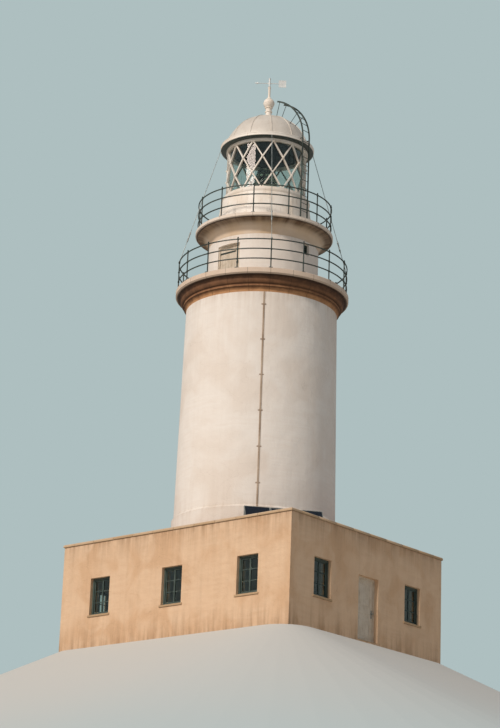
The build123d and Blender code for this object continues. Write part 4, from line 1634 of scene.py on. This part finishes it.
def makeSaddles():
    half = conductor["strapHalf"]
    proud = conductor["proud"] + 0.004
    foot = conductor["foot"]
    boltOut = half + conductor["boltOut"]
    lean = conductor["lean"]
    saddle = startPiece("saddle", bpy.ops.mesh.primitive_plane_add, size=1)
    saddle.data.transform(Matrix.Diagonal((foot, foot, 1, 1)))
    saddle.data.transform(moved(0, -boltOut, 0))
    pickEdges(saddle, lambda start, end: min(start.y, end.y) > -half - 0.01)
    for move in ((0, lean, proud), (0, 2 * half, 0), (0, lean, -proud), (0, foot, 0)):
        extrudeEdges(move)
    endEdit()
    thickenPiece(saddle, 0.004, 1.0)
    cleanNormals(saddle)
    bolt = boltPiece("bolt", 0.012, 0.014)
    bolts = repeatPiece(bolt, [moved(0, side * boltOut, 0.003) for side in (-1, 1)], "bolts")
    saddle = joinPieces([saddle, bolts], "saddle")
    saddle.data.transform(turned(90, "Y"))
    places = [turned(conductor["bearing"]) @ moved(wallReach(z), 0, z) for z in conductor["heights"]]
    finishPiece(repeatPiece(saddle, places, "conductor_saddles"), "strapPaint")


makeSaddles()
print("conductor dressed")


# Solar row: panels in aluminium frames, given the zinc finish, their cells set under glass on a dark sheet

solar = {
    "place": (-2.2652, -3.2368),
    "face": 230.0,
    "tilt": 55.0,
    "foot": 3.51,
    "width": 0.88,
    "length": 1.25,
    "gap": 0.025,
    "thickness": 0.038,
    "rim": 0.022,
    "cells": (6, 9),
    "cellGap": 0.006,
    "inset": 0.004,
    "margin": 0.012,        # from the rim to the cells
    "hollow": (0.03, 0.014),    # edge and depth of the sheet's back
}


def makeSolar():
    s = solar
    tilt = math.radians(s["tilt"])
    run = s["length"] * math.cos(tilt)
    slope = (moved(s["place"][0], s["place"][1], 0) @ turned(s["face"] + 90) @ moved(0, -run / 2, s["foot"])
             @ Matrix.Rotation(tilt, 4, "X"))
    rowStep = s["width"] + s["gap"]
    places = [slope @ moved(rowStep * k, 0, 0) for k in (-1, 0, 1)]

    rim = blockPiece("rim", (-s["width"] / 2, 0, 0), (s["width"] / 2, s["length"], s["thickness"]))
    pickFaces(rim, lambda centre, normal: abs(normal.z) > 0.5)
    bpy.ops.mesh.inset(thickness=s["rim"])
    bpy.ops.mesh.delete(type="FACE")
    endEdit()
    thickenPiece(rim, 0.002, -1.0)
    finishPiece(repeatPiece(rim, places, "solar_rims"), "zinc")

    half = s["width"] / 2 - s["inset"]
    sheet = blockPiece("sheet", (-half, s["inset"], s["inset"]),
                       (half, s["length"] - s["inset"], s["thickness"] - 0.005))
    pickFaces(sheet, lambda centre, normal: normal.z < -0.5)
    bpy.ops.mesh.inset(thickness=s["hollow"][0])
    extrudeFaces((0, 0, s["hollow"][1]))
    endEdit()
    cellsWide, cellsHigh = s["cells"]
    margin = s["rim"] + s["margin"]
    cells = startPiece("cells", bpy.ops.mesh.primitive_grid_add, x_subdivisions=cellsWide,
                       y_subdivisions=cellsHigh, size=1)
    cells.data.transform(moved(0, s["length"] / 2, s["thickness"] - 0.0045)
                         @ Matrix.Diagonal((s["width"] - 2 * margin, s["length"] - 2 * margin, 1, 1)))
    editAll(cells)
    bpy.ops.mesh.inset(thickness=s["cellGap"] / 2, use_individual=True)
    bpy.ops.mesh.inset(thickness=0.001, depth=0.0012, use_individual=True)
    endEdit()
    sheets = repeatPiece(sheet, places, "solar_sheets")
    finishPiece(sheets, "lining")
    cells = repeatPiece(cells, places, "solar_cells")
    finishPiece(cells, "silicon")
    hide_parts("solar_panels")


makeSolar()
print("solar row made")


# Ladder: bolted foot plates on the deck, and struts that carry it off the dome

ladder = {
    "radius": 1.83,
    "half": 0.19,
    "plate": (0.12, 0.07, 0.012),
    "plateBolts": (-0.042, 0.042),
    "arcCentre": 19.10,
    "strutAngles": (34, 68),    # degrees up the arc
    "strut": 0.011,
}


def makeLadderFeet():
    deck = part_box("upper_deck")[1].z
    length, width, thick = ladder["plate"]
    plate = blockPiece("plate", (-length / 2, -width / 2, 0), (length / 2, width / 2, thick), 0.003)
    bolt = boltPiece("bolt", 0.011, 0.018)
    bolts = repeatPiece(bolt, [moved(x, 0.018, thick - 0.001) for x in ladder["plateBolts"]], "bolts")
    foot = joinPieces([plate, bolts], "foot")
    feet = [turned(270) @ moved(ladder["radius"], side * ladder["half"], deck) for side in (-1, 1)]
    finishPiece(repeatPiece(foot, feet, "ladder_feet"), "ironPaint")


def makeLadderStruts():
    domeRadius, domeCentre = domeSize()[3:]
    struts = []
    for angle in ladder["strutAngles"]:
        turn = math.radians(angle)
        for side in (-1, 1):
            rise = ladder["arcCentre"] + ladder["radius"] * math.sin(turn)
            head = Vector((ladder["radius"] * math.cos(turn), side * ladder["half"], rise))
            centre = Vector((0, 0, domeCentre))
            out = (head - centre).normalized()
            foot = centre + out * (domeRadius - 0.004)
            length = (head - foot).length
            size = ladder["strut"]
            rings = [(0.0, 0.0), (0.034, 0.0), (0.034, 0.008), (size + 0.004, 0.014), (size, 0.03),
                     (size, length), (0.0, length)]
            strut = turnPiece("strut", rings, 12)
            strut.data.transform(turned(270) @ Matrix.Translation(foot)
                                 @ out.to_track_quat("Z", "Y").to_matrix().to_4x4())
            struts.append(strut)
    finishPiece(joinPieces(struts, "ladder_struts"), "ironPaint")


makeLadderFeet()
makeLadderStruts()
print("ladder dressed")
